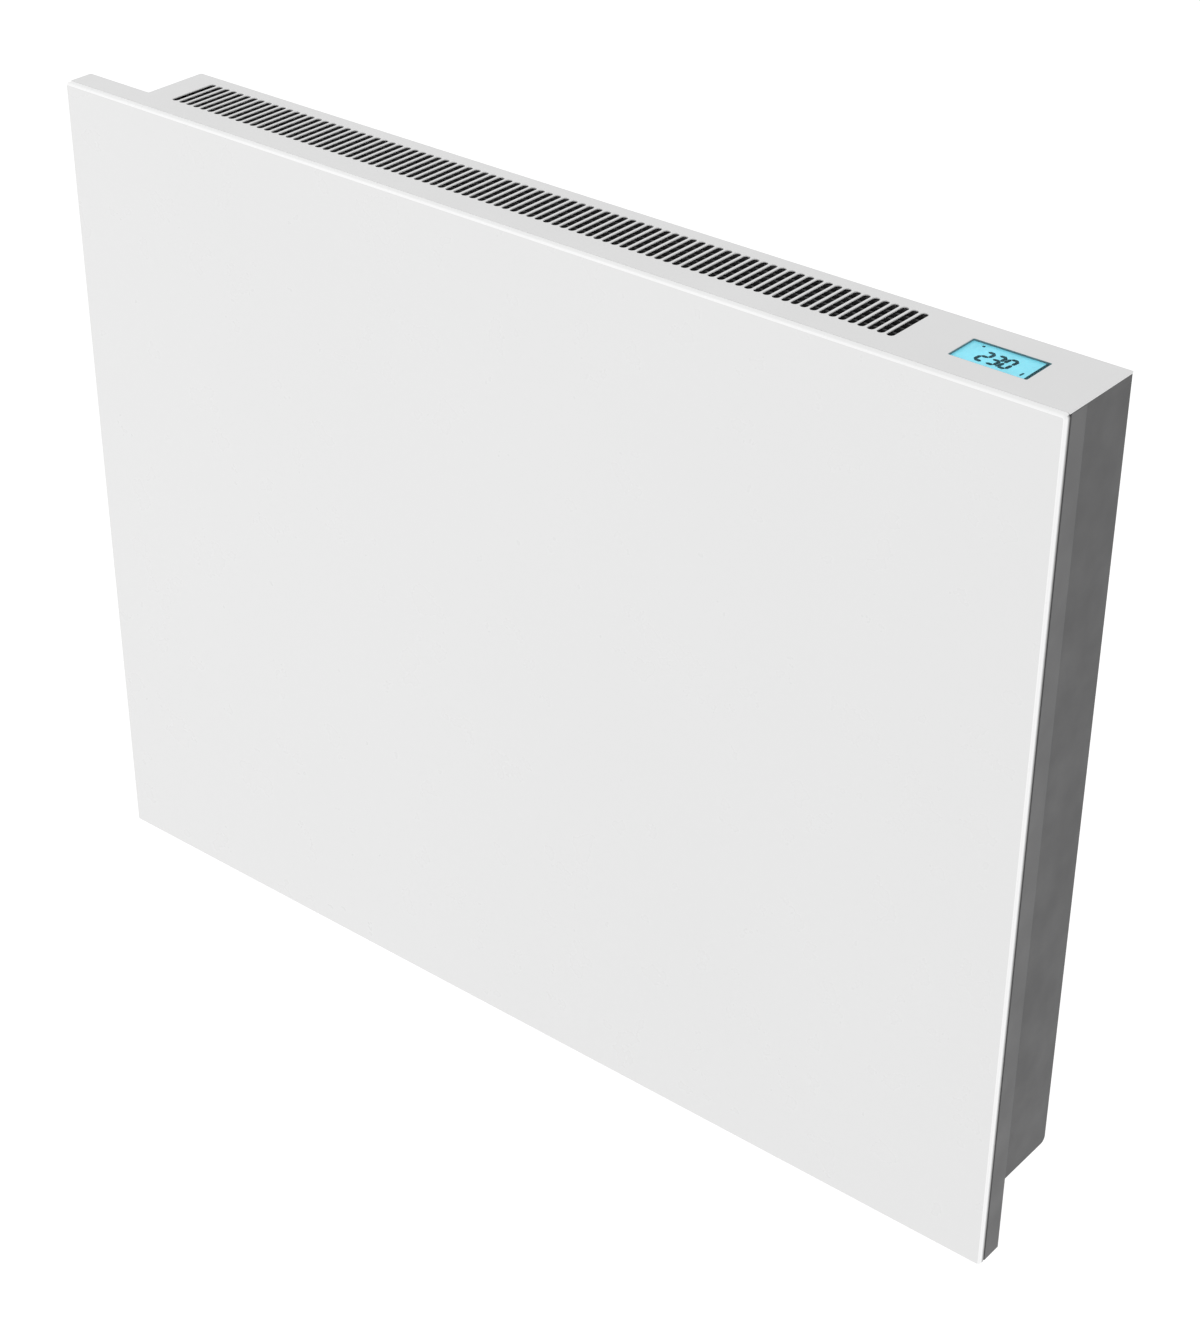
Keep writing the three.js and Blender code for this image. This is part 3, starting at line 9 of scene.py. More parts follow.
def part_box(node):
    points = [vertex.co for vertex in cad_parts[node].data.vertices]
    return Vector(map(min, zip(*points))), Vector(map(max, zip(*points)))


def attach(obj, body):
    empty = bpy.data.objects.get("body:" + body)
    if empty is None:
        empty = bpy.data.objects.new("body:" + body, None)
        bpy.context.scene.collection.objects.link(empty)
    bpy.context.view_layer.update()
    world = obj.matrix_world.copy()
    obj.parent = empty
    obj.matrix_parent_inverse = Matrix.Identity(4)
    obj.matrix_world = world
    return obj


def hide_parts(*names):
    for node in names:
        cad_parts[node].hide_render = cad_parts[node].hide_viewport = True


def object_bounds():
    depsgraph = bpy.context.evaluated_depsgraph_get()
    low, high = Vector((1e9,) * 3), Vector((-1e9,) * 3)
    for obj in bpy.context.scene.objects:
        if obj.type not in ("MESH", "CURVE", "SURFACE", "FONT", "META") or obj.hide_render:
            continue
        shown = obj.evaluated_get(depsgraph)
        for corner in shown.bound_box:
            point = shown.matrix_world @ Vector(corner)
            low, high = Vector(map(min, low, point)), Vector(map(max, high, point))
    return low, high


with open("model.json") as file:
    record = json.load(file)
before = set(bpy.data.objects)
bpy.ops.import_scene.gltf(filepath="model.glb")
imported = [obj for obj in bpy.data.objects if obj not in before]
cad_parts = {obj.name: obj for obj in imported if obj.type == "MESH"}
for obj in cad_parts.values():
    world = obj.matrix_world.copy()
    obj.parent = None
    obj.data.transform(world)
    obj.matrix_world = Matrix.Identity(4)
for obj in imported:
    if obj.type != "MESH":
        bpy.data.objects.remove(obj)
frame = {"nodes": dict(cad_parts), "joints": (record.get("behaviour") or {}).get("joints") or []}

cad_low, cad_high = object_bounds()
MM = 0.001
HEATER = "heater"
BRACKET = "bracket"
ROCKER = "rocker"

# ---------------------------------------------------------------- camera

# The photograph's viewpoint: the place in millimetres in the frame of the CAD model, and the
# angles in degrees.
CAMERA_PLACE = (903.52, -1132.47, 681.66)
CAMERA_AZIMUTH = 39.158
CAMERA_ELEVATION = 31.721
CAMERA_ROLL = 0.329
CAMERA_LENS = 75.61
CAMERA_FILM = 36
CAMERA_CLIP = (0.05, 60)


def make_camera():
    data = bpy.data.cameras.new("camera")
    data.lens = CAMERA_LENS
    data.sensor_width = CAMERA_FILM
    data.clip_start, data.clip_end = CAMERA_CLIP
    camera = bpy.data.objects.new("camera", data)
    bpy.context.scene.collection.objects.link(camera)
    turn = Matrix.Rotation(math.radians(CAMERA_AZIMUTH), 4, "Z")
    tilt = Matrix.Rotation(math.radians(90 - CAMERA_ELEVATION), 4, "X")
    roll = Matrix.Rotation(math.radians(CAMERA_ROLL), 4, "Z")
    camera.matrix_world = Matrix.Translation(Vector(CAMERA_PLACE) * MM) @ turn @ tilt @ roll
    bpy.context.scene.camera = camera


# ---------------------------------------------------------------- materials

# Most values of a noise texture lie between these two.
NOISE_LOW = 0.3
NOISE_HIGH = 0.7


def new_material(name, color, roughness, metallic=0.0, specular=0.5):
    """A plain Principled material, and its nodes for what is added to it."""
    material = bpy.data.materials.new(name)
    material.use_nodes = True
    nodes = material.node_tree.nodes
    shader = nodes["Principled BSDF"]
    shader.inputs["Base Color"].default_value = (*color, 1)
    shader.inputs["Roughness"].default_value = roughness
    shader.inputs["Metallic"].default_value = metallic
    shader.inputs["Specular IOR Level"].default_value = specular
    return material, nodes, material.node_tree.links, shader


def noise(nodes, links, scale, detail, stretch=(1, 1, 1)):
    """Noise in object space; scale is in cells to a metre."""
    coordinates = nodes.new("ShaderNodeTexCoord")
    mapping = nodes.new("ShaderNodeMapping")
    mapping.inputs["Scale"].default_value = stretch
    texture = nodes.new("ShaderNodeTexNoise")
    texture.inputs["Scale"].default_value = scale
    texture.inputs["Detail"].default_value = detail
    links.new(coordinates.outputs["Object"], mapping.inputs["Vector"])
    links.new(mapping.outputs["Vector"], texture.inputs["Vector"])
    return texture.outputs["Fac"]


def spread(nodes, links, value, low, high):
    """Maps a noise value's usual middle range to low ... high."""
    ranged = nodes.new("ShaderNodeMapRange")
    ranged.inputs["From Min"].default_value = NOISE_LOW
    ranged.inputs["From Max"].default_value = NOISE_HIGH
    ranged.inputs["To Min"].default_value = low
    ranged.inputs["To Max"].default_value = high
    links.new(value, ranged.inputs["Value"])
    return ranged.outputs["Result"]


def blend(nodes, links, value, first, second):
    """A colour that goes from the first to the second as the value goes from 0 to 1."""
    mix = nodes.new("ShaderNodeMix")
    mix.data_type = "RGBA"
    mix.inputs["A"].default_value = (*first, 1)
    mix.inputs["B"].default_value = (*second, 1)
    links.new(value, mix.inputs["Factor"])
    return mix.outputs["Result"]


def tint(nodes, links, value, color, change):
    """The colour, made darker and lighter by a share as the value changes."""
    darker = [c * (1 - change) for c in color]
    lighter = [min(1, c * (1 + change)) for c in color]
    return blend(nodes, links, value, darker, lighter)


def clouded(nodes, links, scale, detail, color, change):
    """The colour with slow drifts of its shade."""
    drift = spread(nodes, links, noise(nodes, links, scale, detail), 0, 1)
    return tint(nodes, links, drift, color, change)


def roughen(nodes, links, shader, scale, detail, low, high):
    """Roughness that drifts from low to high."""
    drift = noise(nodes, links, scale, detail)
    links.new(spread(nodes, links, drift, low, high), shader.inputs["Roughness"])


def bump(nodes, links, shader, value, height):
    node = nodes.new("ShaderNodeBump")
    node.inputs["Strength"].default_value = 1.0
    node.inputs["Distance"].default_value = height
    links.new(value, node.inputs["Height"])
    links.new(node.outputs["Normal"], shader.inputs["Normal"])


ROUGH_CHANGE = 0.06
SMOOTHEST = 0.02


def surface(name, color, roughness, specular=0.5, grain=900, height=8e-6, change=0.03, cloud=14):
    """A finish with fine grain in its bump, and slow drifts of colour and roughness."""
    material, nodes, links, shader = new_material(name, color, roughness, 0.0, specular)
    links.new(clouded(nodes, links, cloud, 3, color, change), shader.inputs["Base Color"])
    low, high = max(SMOOTHEST, roughness - ROUGH_CHANGE), roughness + ROUGH_CHANGE
    roughen(nodes, links, shader, cloud * 3, 4, low, high)
    bump(nodes, links, shader, noise(nodes, links, grain, 2), height)
    return material


def glass_front(name, color):
    """Polished glass over white lacquer, with a very slight waviness."""
    material, nodes, links, shader = new_material(name, color, 0.3)
    links.new(clouded(nodes, links, 3, 2, color, 0.006), shader.inputs["Base Color"])
    roughen(nodes, links, shader, 45, 4, 0.26, 0.34)
    shader.inputs["Coat Weight"].default_value = 0.5
    shader.inputs["Coat Roughness"].default_value = 0.08
    bump(nodes, links, shader, noise(nodes, links, 9, 1), 1.5e-5)
    return material


def painted_shade_edge(name, light, dark, start, end):
    """The glass's ground ends, with painted shade: white at the front, and grey towards the tray.
    """
    material, nodes, links, shader = new_material(name, light, 0.35)
    coordinates = nodes.new("ShaderNodeTexCoord")
    parts = nodes.new("ShaderNodeSeparateXYZ")
    links.new(coordinates.outputs["Object"], parts.inputs["Vector"])
    depth = nodes.new("ShaderNodeMapRange")
    depth.interpolation_type = "SMOOTHSTEP"
    depth.inputs["From Min"].default_value = start
    depth.inputs["From Max"].default_value = end
    links.new(parts.outputs["Y"], depth.inputs["Value"])
    shade = blend(nodes, links, depth.outputs["Result"], light, dark)
    links.new(shade, shader.inputs["Base Color"])
    roughen(nodes, links, shader, 300, 2, 0.3, 0.42)
    bump(nodes, links, shader, noise(nodes, links, 700, 2), 4e-6)
    return material


ZINC_CRYSTALS = 150


def zinc(name, color, roughness):
    """Galvanised sheet: flat crystals of slightly different shine."""
    material, nodes, links, shader = new_material(name, color, roughness, 0.85)
    coordinates = nodes.new("ShaderNodeTexCoord")
    crystals = nodes.new("ShaderNodeTexVoronoi")
    crystals.inputs["Scale"].default_value = ZINC_CRYSTALS
    links.new(coordinates.outputs["Object"], crystals.inputs["Vector"])
    shade = nodes.new("ShaderNodeSeparateColor")
    links.new(crystals.outputs["Color"], shade.inputs["Color"])
    links.new(tint(nodes, links, shade.outputs["Red"], color, 0.09), shader.inputs["Base Color"])
    rough = spread(nodes, links, shade.outputs["Green"], roughness - 0.08, roughness + 0.1)
    links.new(rough, shader.inputs["Roughness"])
    bump(nodes, links, shader, noise(nodes, links, 500, 3), 1e-5)
    return material


def brushed(name, color, roughness, stretch=(1, 60, 60)):
    """Rolled or extruded metal with fine lines along one axis."""
    material, nodes, links, shader = new_material(name, color, roughness, 0.95)
    lines = noise(nodes, links, 60, 5, stretch)
    shade = spread(nodes, links, lines, 0, 1)
    links.new(tint(nodes, links, shade, color, 0.08), shader.inputs["Base Color"])
    rough = spread(nodes, links, lines, roughness - 0.07, roughness + 0.1)
    links.new(rough, shader.inputs["Roughness"])
    bump(nodes, links, shader, lines, 6e-6)
    return material


def lit_display(name, color, strength):
    """The display's backlit face, with faint clouds in its glow."""
    material, nodes, links, shader = new_material(name, color, 0.35)
    glow = clouded(nodes, links, 60, 2, color, 0.07)
    links.new(glow, shader.inputs["Base Color"])
    links.new(glow, shader.inputs["Emission Color"])
    shader.inputs["Emission Strength"].default_value = strength
    roughen(nodes, links, shader, 400, 2, 0.3, 0.4)
    return material


def clear_window(name):
    """A clear window with little reflection, so that the segments under it stay dark."""
    material, nodes, links, shader = new_material(name, (0.95, 0.99, 1.0), 0.03)
    shader.inputs["Transmission Weight"].default_value = 1.0
    shader.inputs["IOR"].default_value = 1.1
    roughen(nodes, links, shader, 80, 3, 0.02, 0.06)
    bump(nodes, links, shader, noise(nodes, links, 25, 1), 3e-6)
    return material


# Where the painted shade on the glass's ground ends starts, and where it is darkest, along Y.
GLASS_PAINTED_SHADE = (-74.7, -71.8)


def make_materials():
    shade = [depth * MM for depth in GLASS_PAINTED_SHADE]
    powder = {"specular": 0.4, "grain": 1600, "height": 2e-5}
    wire = {"grain": 600, "height": 1e-5}
    return {
        "glass": glass_front("white_glass", (0.74, 0.74, 0.74)),
        # Painted highlight: the pane's rounded edge is a lighter white than its face.
        "glass_edge_painted_highlight": surface("glass_edge_painted_highlight", (0.9, 0.9, 0.9), 0.3, grain=300, height=3e-6,
                              change=0.01),
        # Painted shade on the pane's ground ends: white at the front, darkening towards the back.
        "glass_side_painted_shade": painted_shade_edge("glass_side_painted_shade", (0.95, 0.95, 0.95), (0.08, 0.08, 0.08), *shade),
        "white": surface("white_paint", (0.76, 0.76, 0.76), 0.42, grain=1400, height=1.2e-5,
                         change=0.012),
        # Painted shade: the tray and case are dark greys that stand for the shade on the heater's
        # sides; the tray is a little lighter than the case.
        "tray": surface("tray_painted_shade_grey", (0.098, 0.098, 0.099), 0.5, **powder),
        "grey": surface("case_painted_shade_grey", (0.068, 0.068, 0.069), 0.5, **powder),
        "galvanised": zinc("galvanised", (0.5, 0.51, 0.52), 0.38),
        "steel": brushed("zinc_plated", (0.5, 0.5, 0.5), 0.3, (1, 1, 20)),
        "aluminium": brushed("aluminium", (0.62, 0.63, 0.64), 0.32),
        "ceramic": surface("ceramic", (0.76, 0.72, 0.62), 0.3, grain=500, height=6e-6),
        "wool": surface("mineral_wool", (0.55, 0.46, 0.22), 0.95, grain=700, height=2e-4,
                        change=0.2, cloud=200),
        "foam": surface("foam", (0.02, 0.02, 0.02), 0.9, grain=1500, height=1e-4, change=0.2),
        "black": surface("black_plastic", (0.018, 0.018, 0.019), 0.45, grain=2500,
                         height=2.5e-5, change=0.1),
        "seal": surface("window_seal", (0.12, 0.25, 0.28), 0.6, grain=1500, height=1e-5),
        "plastic": surface("white_plastic", (0.66, 0.66, 0.64), 0.45, grain=2000, height=1e-5),
        "board": surface("circuit_board", (0.015, 0.12, 0.045), 0.3, grain=900, height=3e-5,
                         change=0.25, cloud=220),
        "cyan": lit_display("display", (0.2, 0.64, 0.76), 0.47),
        "ink": surface("display_ink", (0.0, 0.07, 0.09), 0.5, specular=0.0, height=2e-6),
        "lens": clear_window("clear_lens"),
        "brown": surface("wire_brown", (0.14, 0.05, 0.02), 0.5, **wire),
        "blue": surface("wire_blue", (0.03, 0.11, 0.32), 0.5, **wire),
        "earth": surface("wire_earth", (0.25, 0.38, 0.03), 0.5, **wire),
    }


# The finish of each CAD node, by what its name starts with.
NODE_FINISH = {
    "upper_rail": "galvanised", "lower_rail": "galvanised", "bracket_strap": "galvanised",
    "rivet": "steel", "front_glass": "glass", "bond_tape": "foam", "front_tray": "tray",
    "insulation_board": "wool", "side_panel": "grey", "rear_cover": "grey", "top_cover": "white",
    "partition_plate": "galvanised", "rear_screw": "steel", "panel_screw": "steel",
    "front_heat_shield": "aluminium", "rear_heat_shield": "aluminium",
    "element_fins": "aluminium", "element_rod": "steel", "element_bush": "ceramic",
    "element_hanger": "galvanised", "thermal_cutout": "black", "display_lens": "lens",
    "lcd_panel": "cyan", "control_board": "board", "display_bezel": "black",
    "control_housing": "black", "power_board": "board", "switch_body": "black",
    "power_rocker": "black", "cable_gland": "black", "gland_nut": "black",
    "room_sensor": "plastic", "terminal_block": "plastic", "earth_stud": "steel",
    "earth_nut": "steel", "wire_grommet": "black", "wire_live": "brown",
    "wire_switched": "brown", "wire_neutral": "blue", "wire_load": "brown",
    "wire_element": "brown", "wire_return": "blue", "wire_earth": "earth",
}


def finish_nodes(finishes):
    """Gives each CAD node its material, by the longest name that its own name starts with."""
    for name, node in frame["nodes"].items():
        known = max((key for key in NODE_FINISH if name.startswith(key)), key=len)
        node.data.materials.clear()
        node.data.materials.append(finishes[NODE_FINISH[known]])


# ---------------------------------------------------------------- shapes

# Placings of a shape that is drawn in the plane and rises along +Z, so that it rises upwards,
# to the front, to the back or downwards.
UP = Matrix.Identity(4)
FORWARDS = Matrix.Rotation(math.radians(90), 4, "X")
BACK = Matrix.Rotation(math.radians(180), 4, "Z") @ FORWARDS
DOWN = Matrix.Rotation(math.radians(180), 4, "X")


def unit(angle):
    return Vector((math.cos(angle), math.sin(angle)))


def arc(x, y, radius, start, end, steps):
    """Points of an arc with their outward directions. Angles are in degrees."""
    points = []
    for i in range(steps + 1):
        way = unit(math.radians(start + (end - start) * i / steps))
        points.append((Vector((x, y)) + way * radius, way))
    return points


def circle(x, y, radius, steps):
    return arc(x, y, radius, 0, 360 - 360 / steps, steps - 1)


def stadium(x, y, width, length, steps=8):
    """A slot outline with half-round ends, its length along y."""
    reach = (length - width) / 2
    return (arc(x, y + reach, width / 2, 0, 180, steps)
            + arc(x, y - reach, width / 2, 180, 360, steps))


def rounded(corners, radius, steps=6):
    """An outline through counter-clockwise corners, each rounded, inward corners too."""
    outline = []
    count = len(corners)
    radii = [radius] * count if isinstance(radius, (int, float)) else radius
    for i, corner in enumerate(corners):
        here = Vector(corner)
        before = (here - Vector(corners[i - 1])).normalized()
        after = (Vector(corners[(i + 1) % count]) - here).normalized()
        side_before = Vector((before.y, -before.x))
        side_after = Vector((after.y, -after.x))
        mitre = (side_before + side_after) / (1 + side_before.dot(side_after))
        if radii[i] == 0:
            outline.append((here, mitre))
            continue
        turn = before.x * after.y - before.y * after.x
        reach = radii[i] if turn > 0 else -radii[i]
        start = math.atan2(side_before.y, side_before.x)
        sweep = math.atan2(turn, before.dot(after))
        for step in range(steps + 1):
            way = unit(start + sweep * step / steps)
            outline.append((here + (way - mitre) * reach, way))
    return outline


def rectangle(x, y, width, height, radius, steps):
    w, h = width / 2, height / 2
    corners = [(x - w, y - h), (x + w, y - h), (x + w, y + h), (x - w, y + h)]
    return rounded(corners, radius, steps)


def levels(low, high, low_radius=0.0, high_radius=0.0, steps=3):
    """Steps of (growth, height) up a wall whose two edges are rounded."""
    quarter = [math.radians(90 * i / steps) for i in range(steps + 1)]
    foot = [(-low_radius * (1 - math.sin(a)), low + low_radius * (1 - math.cos(a)))
            for a in quarter]
    head = [(-high_radius * (1 - math.cos(a)), high - high_radius * (1 - math.sin(a)))
            for a in quarter]
    foot = foot if low_radius else foot[-1:]
    head = head if high_radius else head[:1]
    return foot + head


# Edges between smooth faces that meet at more than this stay sharp.
CREASE = math.radians(40)


class Shell:
    """Vertices and faces of a mesh in the making, in millimetres."""

    def __init__(self):
        self.points = []
        self.faces = []
        self.flat = []
        self.paints = []

    def face(self, corners, flat, paint):
        self.faces.append(corners)
        self.flat.append(flat)
        self.paints.append(paint)

    def rings(self, outline, steps, place, inward, paint):
        """Walls from rings of the outline. Inward is -1 for a hole. Gives the end rings."""
        rings = []
        for growth, height in steps:
            first = len(self.points)
            for point, way in outline:
                at = point + way * (growth * inward)
                self.points.append(place @ Vector((at.x, at.y, height)))
            rings.append(range(first, len(self.points)))
        count = len(outline)
        for low, high in zip(rings, rings[1:]):
            for i in range(count):
                j = (i + 1) % count
                corners = (low[i], low[j], high[j], high[i])
                self.face(corners if inward > 0 else corners[::-1], False, paint)
        return rings[0], rings[-1]

    def cap(self, loops, place, upward):
        """A flat face with holes, from rings of points, in the first material."""
        back = place.inverted()
        flat = [[(back @ self.points[i]).xy.to_3d() for i in loop] for loop in loops]
        order = [i for loop in loops for i in loop]
        places = [point for loop in flat for point in loop]
        for a, b, c in tessellate_polygon(flat):
            turned = (places[b] - places[a]).cross(places[c] - places[a]).z > 0
            corners = (order[a], order[b], order[c])
            self.face(corners if turned == upward else corners[::-1], True, 0)

    def block(self, outline, steps, holes=(), pockets=(), place=UP, paint=0):
        """A solid with through holes, and pockets sunk into its upper face."""
        low, high = self.rings(outline, steps, place, 1, paint)
        lows, highs = [low], [high]
        for hole in holes:
            ends = self.rings(hole, steps, place, -1, paint)
            lows.append(ends[0])
            highs.append(ends[1])
        for pocket, pocket_steps in pockets:
            floor, rim = self.rings(pocket, pocket_steps, place, -1, paint)
            self.cap([floor], place, True)
            highs.append(rim)
        self.cap(lows, place, False)
        self.cap(highs, place, True)

    def lathe(self, profile, place, steps=32):
        """A turned solid from (radius, height) points: from axis to axis, or a closed ring."""
        closed = profile[0] == profile[-1]
        rings = []
        for radius, height in profile[:-1] if closed else profile:
            first = len(self.points)
            around = 1 if radius == 0 else steps
            for i in range(around):
                way = unit(2 * math.pi * i / steps)
                self.points.append(place @ Vector((*(way * radius), height)))
            rings.append([first + i % around for i in range(steps)])
        rings += rings[:1] if closed else []
        for low, high in zip(rings, rings[1:]):
            for i in range(steps):
                j = (i + 1) % steps
                corners = [low[i], low[j], high[j], high[i]]
                self.face(list(dict.fromkeys(corners)), False, 0)

    def build(self, name, materials):
        mesh = bpy.data.meshes.new(name)
        mesh.from_pydata([point * MM for point in self.points], [], self.faces)
        for material in materials:
            mesh.materials.append(material)
        mesh.polygons.foreach_set("material_index", self.paints)
        mesh.set_sharp_from_angle(angle=CREASE)
        mesh.polygons.foreach_set("use_smooth", [not flat for flat in self.flat])
        piece = bpy.data.objects.new(name, mesh)
        bpy.context.scene.collection.objects.link(piece)
        return piece


def dress(piece, body, slot, *replaced):
    """Puts a piece on its body and hides the nodes that it stands for. The slot is not used."""
    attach(piece, body)
    if replaced:
        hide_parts(*replaced)


def corners_mm(node):
    """A node's lowest and highest corners, in millimetres."""
    low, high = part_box(node)
    return Vector(low) / MM, Vector(high) / MM


# ---------------------------------------------------------------- front glass

GLASS_CORNER_R = 2.4
GLASS_EDGE_R = 1.5
GLASS_BACK_R = 0.3
GLASS_STEPS = 8
GLASS_FINISHES = ("glass", "glass_edge_painted_highlight", "glass_side_painted_shade")
# Walls whose normals point this much to the side are the pane's ground ends, which get the
# painted shade.
GLASS_SIDEWAYS = 0.7


def make_front_glass(finishes):
    low, high = corners_mm("front_glass")
    middle, size = (low + high) / 2, high - low
    outline = rectangle(middle.x, middle.z, size.x, size.z, GLASS_CORNER_R, GLASS_STEPS)
    steps = levels(-high.y, -low.y, GLASS_BACK_R, GLASS_EDGE_R, GLASS_STEPS)
    edge, side = GLASS_FINISHES.index("glass_edge_painted_highlight"), GLASS_FINISHES.index("glass_side_painted_shade")
    shell = Shell()
    shell.block(outline, steps, place=FORWARDS, paint=edge)
    piece = shell.build("front_glass_pane", [finishes[key] for key in GLASS_FINISHES])
    # The ground ends at the left and right take the painted shade.
    for face in piece.data.polygons:
        if face.material_index == edge and abs(face.normal.x) > GLASS_SIDEWAYS:
            face.material_index = side
    dress(piece, HEATER, "white_glass", "front_glass")


# ---------------------------------------------------------------- top cover

TOP_T = 0.8
TOP_EDGE_R = 0.3
TOP_UNDER_R = 0.1
TOP_CORNERS_R = [0.4, 0.4, 1.2, 1.2, 0.5, 1.2]
TOP_CORNER_STEPS = 5
SLOT_COUNT = 88
SLOT_FIRST = -303.25
SLOT_PITCH = 5.89
SLOT_LAST = SLOT_FIRST + (SLOT_COUNT - 1) * SLOT_PITCH
SLOT_W = 4.3
SLOT_FRONT = -54.8
SLOT_REAR = -20.6
SLOT_L = SLOT_REAR - SLOT_FRONT
SLOT_MIDDLE = (SLOT_FRONT + SLOT_REAR) / 2
# The display's opening: its middle, width, length and corner radius.
WINDOW = (266.15, -42.0, 45.4, 23.8, 0.8)
WINDOW_STEPS = 4
CASE_LEFT = -324.25
TRAY_BACK = -55.3
FLANGE_H = 12
FLANGE_X = (-308.35, 307.15)
FLANGE_FROM_BACK = 1.3
FLANGE_CORNER_R = 3
FLANGE_EDGE_R = 0.1
FLANGE_HOLES = (-262.95, 261.75)
FLANGE_HOLE_R = 2.2
FLANGE_HOLE_STEPS = 20


def make_top_cover(finishes):
    """The slotted plate with its rear flange."""
    low, high = corners_mm("top_cover")
    outline = rounded(
        [(low.x, low.y), (high.x, low.y), (high.x, high.y), (CASE_LEFT, high.y),
         (CASE_LEFT, TRAY_BACK), (low.x, TRAY_BACK)], TOP_CORNERS_R, TOP_CORNER_STEPS)
    slots = [stadium(SLOT_FIRST + i * SLOT_PITCH, SLOT_MIDDLE, SLOT_W, SLOT_L)
             for i in range(SLOT_COUNT)]
    openings = [*slots, rectangle(*WINDOW, WINDOW_STEPS)]
    shell = Shell()
    under = high.z - TOP_T
    shell.block(outline, levels(under, high.z, TOP_UNDER_R, TOP_EDGE_R), openings)
    seat = high.y - FLANGE_FROM_BACK
    z0, z1 = under - FLANGE_H, under + TOP_T / 2
    left, right = -FLANGE_X[1], -FLANGE_X[0]
    flange = rounded([(left, z0), (right, z0), (right, z1), (left, z1)],
                     [FLANGE_CORNER_R, FLANGE_CORNER_R, 0, 0])
    holes = [circle(-x, under - FLANGE_H / 2, FLANGE_HOLE_R, FLANGE_HOLE_STEPS)
             for x in FLANGE_HOLES]
    steps = levels(seat - TOP_T, seat, FLANGE_EDGE_R, FLANGE_EDGE_R, 2)
    shell.block(flange, steps, holes, place=BACK)
    piece = shell.build("top_cover_plate", [finishes["white"]])
    dress(piece, HEATER, "white_paint", "top_cover")


# Black bars under the slots, which give the slots painted shade.
SHADE_BARS = 6
SHADE_BAR_T = 1.6
SHADE_BAR_H = 7
SHADE_BAR_EDGE_R = 0.5
SHADE_BARS_DROP = 0.6
SHADE_BARS_REACH = 5
SHADE_BARS_INSET = 0.5
SHADE_BAR_TIES = 9
TIE_T = 2
TIE_INSET = 2
TIE_RISE = 1
TIE_DROP = 2
TIE_EDGE_R = 0.4


def make_slot_shade_bars(finishes):
    """Black bars under the outlet slots, tied together by a few cross bars: a dark piece that
    puts painted shade in the slots, where the heater's inside is dark.
    """
    shell = Shell()
    x0, x1 = SLOT_FIRST - SHADE_BARS_REACH, SLOT_LAST + SHADE_BARS_REACH
    top = cad_high.z / MM - TOP_T - SHADE_BARS_DROP
    foot = top - SHADE_BAR_H
    pitch = (SLOT_L - 2 * SHADE_BARS_INSET) / (SHADE_BARS - 1)
    for i in range(SHADE_BARS):
        y = SLOT_FRONT + SHADE_BARS_INSET + i * pitch
        outline = rectangle((x0 + x1) / 2, y, x1 - x0, SHADE_BAR_T, SHADE_BAR_EDGE_R, 3)
        shell.block(outline, levels(foot, top, SHADE_BAR_EDGE_R, SHADE_BAR_EDGE_R, 2))
    steps = levels(foot + TIE_RISE, top - TIE_DROP, TIE_EDGE_R, TIE_EDGE_R, 2)
    for i in range(SHADE_BAR_TIES):
        x = x0 + TIE_INSET + (x1 - x0 - 2 * TIE_INSET) * i / (SHADE_BAR_TIES - 1)
        shell.block(rectangle(x, SLOT_MIDDLE, TIE_T, SLOT_L, SHADE_BAR_EDGE_R, 3), steps)
    dress(shell.build("slot_shade_bars", [finishes["black"]]), HEATER, "black_plastic")


# ---------------------------------------------------------------- display

# Segments of a digit, each from one point of its 2 x 3 grid to the next.
SEGMENTS = {
    "a": ((0, 2), (1, 2)), "b": ((1, 2), (1, 1)), "c": ((1, 1), (1, 0)), "d": ((0, 0), (1, 0)),
    "e": ((0, 1), (0, 0)), "f": ((0, 2), (0, 1)), "g": ((0, 1), (1, 1)),
}
DIGITS = {"2": "abged", "3": "abgcd", "0": "abcdef"}
READING = "230"
DIGIT_H = 11.0
DIGIT_W = 4.4
DIGIT_PITCH = 6.7
DIGIT_LEAN = 0.12
SEGMENT_T = 1.9
SEGMENT_GAP = 0.12
DIGITS_LEFT = 255.0
DIGITS_FRONT = -48.0
INK_Z = (88.18, 88.38)
INK_STEPS = 3
# The decimal point's place, in digits from the first one's left, its rise and its radius.
POINT_AT = 1.9
POINT_RISE = 0.2
POINT_R = 0.55
# Places as shares of the window's width and length, from its front left corner.
MARK_AT = (0.17, 0.88)
MARK_SIZE = (1.6, 1.3)
MARK_R = 0.3
BAR_AT = (0.855, 0.25)
BAR_T = 1.0
BAR_L = 3.2
BAR_R = 0.2
LINE_T = 2
LINE_SHORTER = 0.4
LINE_FROM_RIGHT = 2.1


def segment_outline(start, end):
    """A segment with pointed ends."""
    start, end = Vector(start), Vector(end)
    along = (end - start).normalized()
    side = Vector((-along.y, along.x)) * SEGMENT_T / 2
    inset = along * (SEGMENT_T / 2 + SEGMENT_GAP)
    tip = along * SEGMENT_GAP
    corners = [start + tip, start + inset - side, end - inset - side, end - tip,
               end - inset + side, start + inset + side]
    return rounded([tuple(corner) for corner in corners], 0)


def on_digit(digit, point):
    """Where a point of a digit's grid lies on the display."""
    y = point[1] / 2 * DIGIT_H
    x = point[0] * DIGIT_W + digit * DIGIT_PITCH + DIGIT_LEAN * y
    return DIGITS_LEFT + x, DIGITS_FRONT + y


def on_window(share_x, share_y):
    x, y, width, length, _ = WINDOW
    return x + (share_x - 0.5) * width, y + (share_y - 0.5) * length


def slanted_bar(x, y):
    w, l, lean = BAR_T / 2, BAR_L / 2, DIGIT_LEAN * BAR_L
    corners = [(x - w, y - l), (x + w, y - l), (x + w + lean, y + l), (x - w + lean, y + l)]
    return rounded(corners, BAR_R, INK_STEPS)


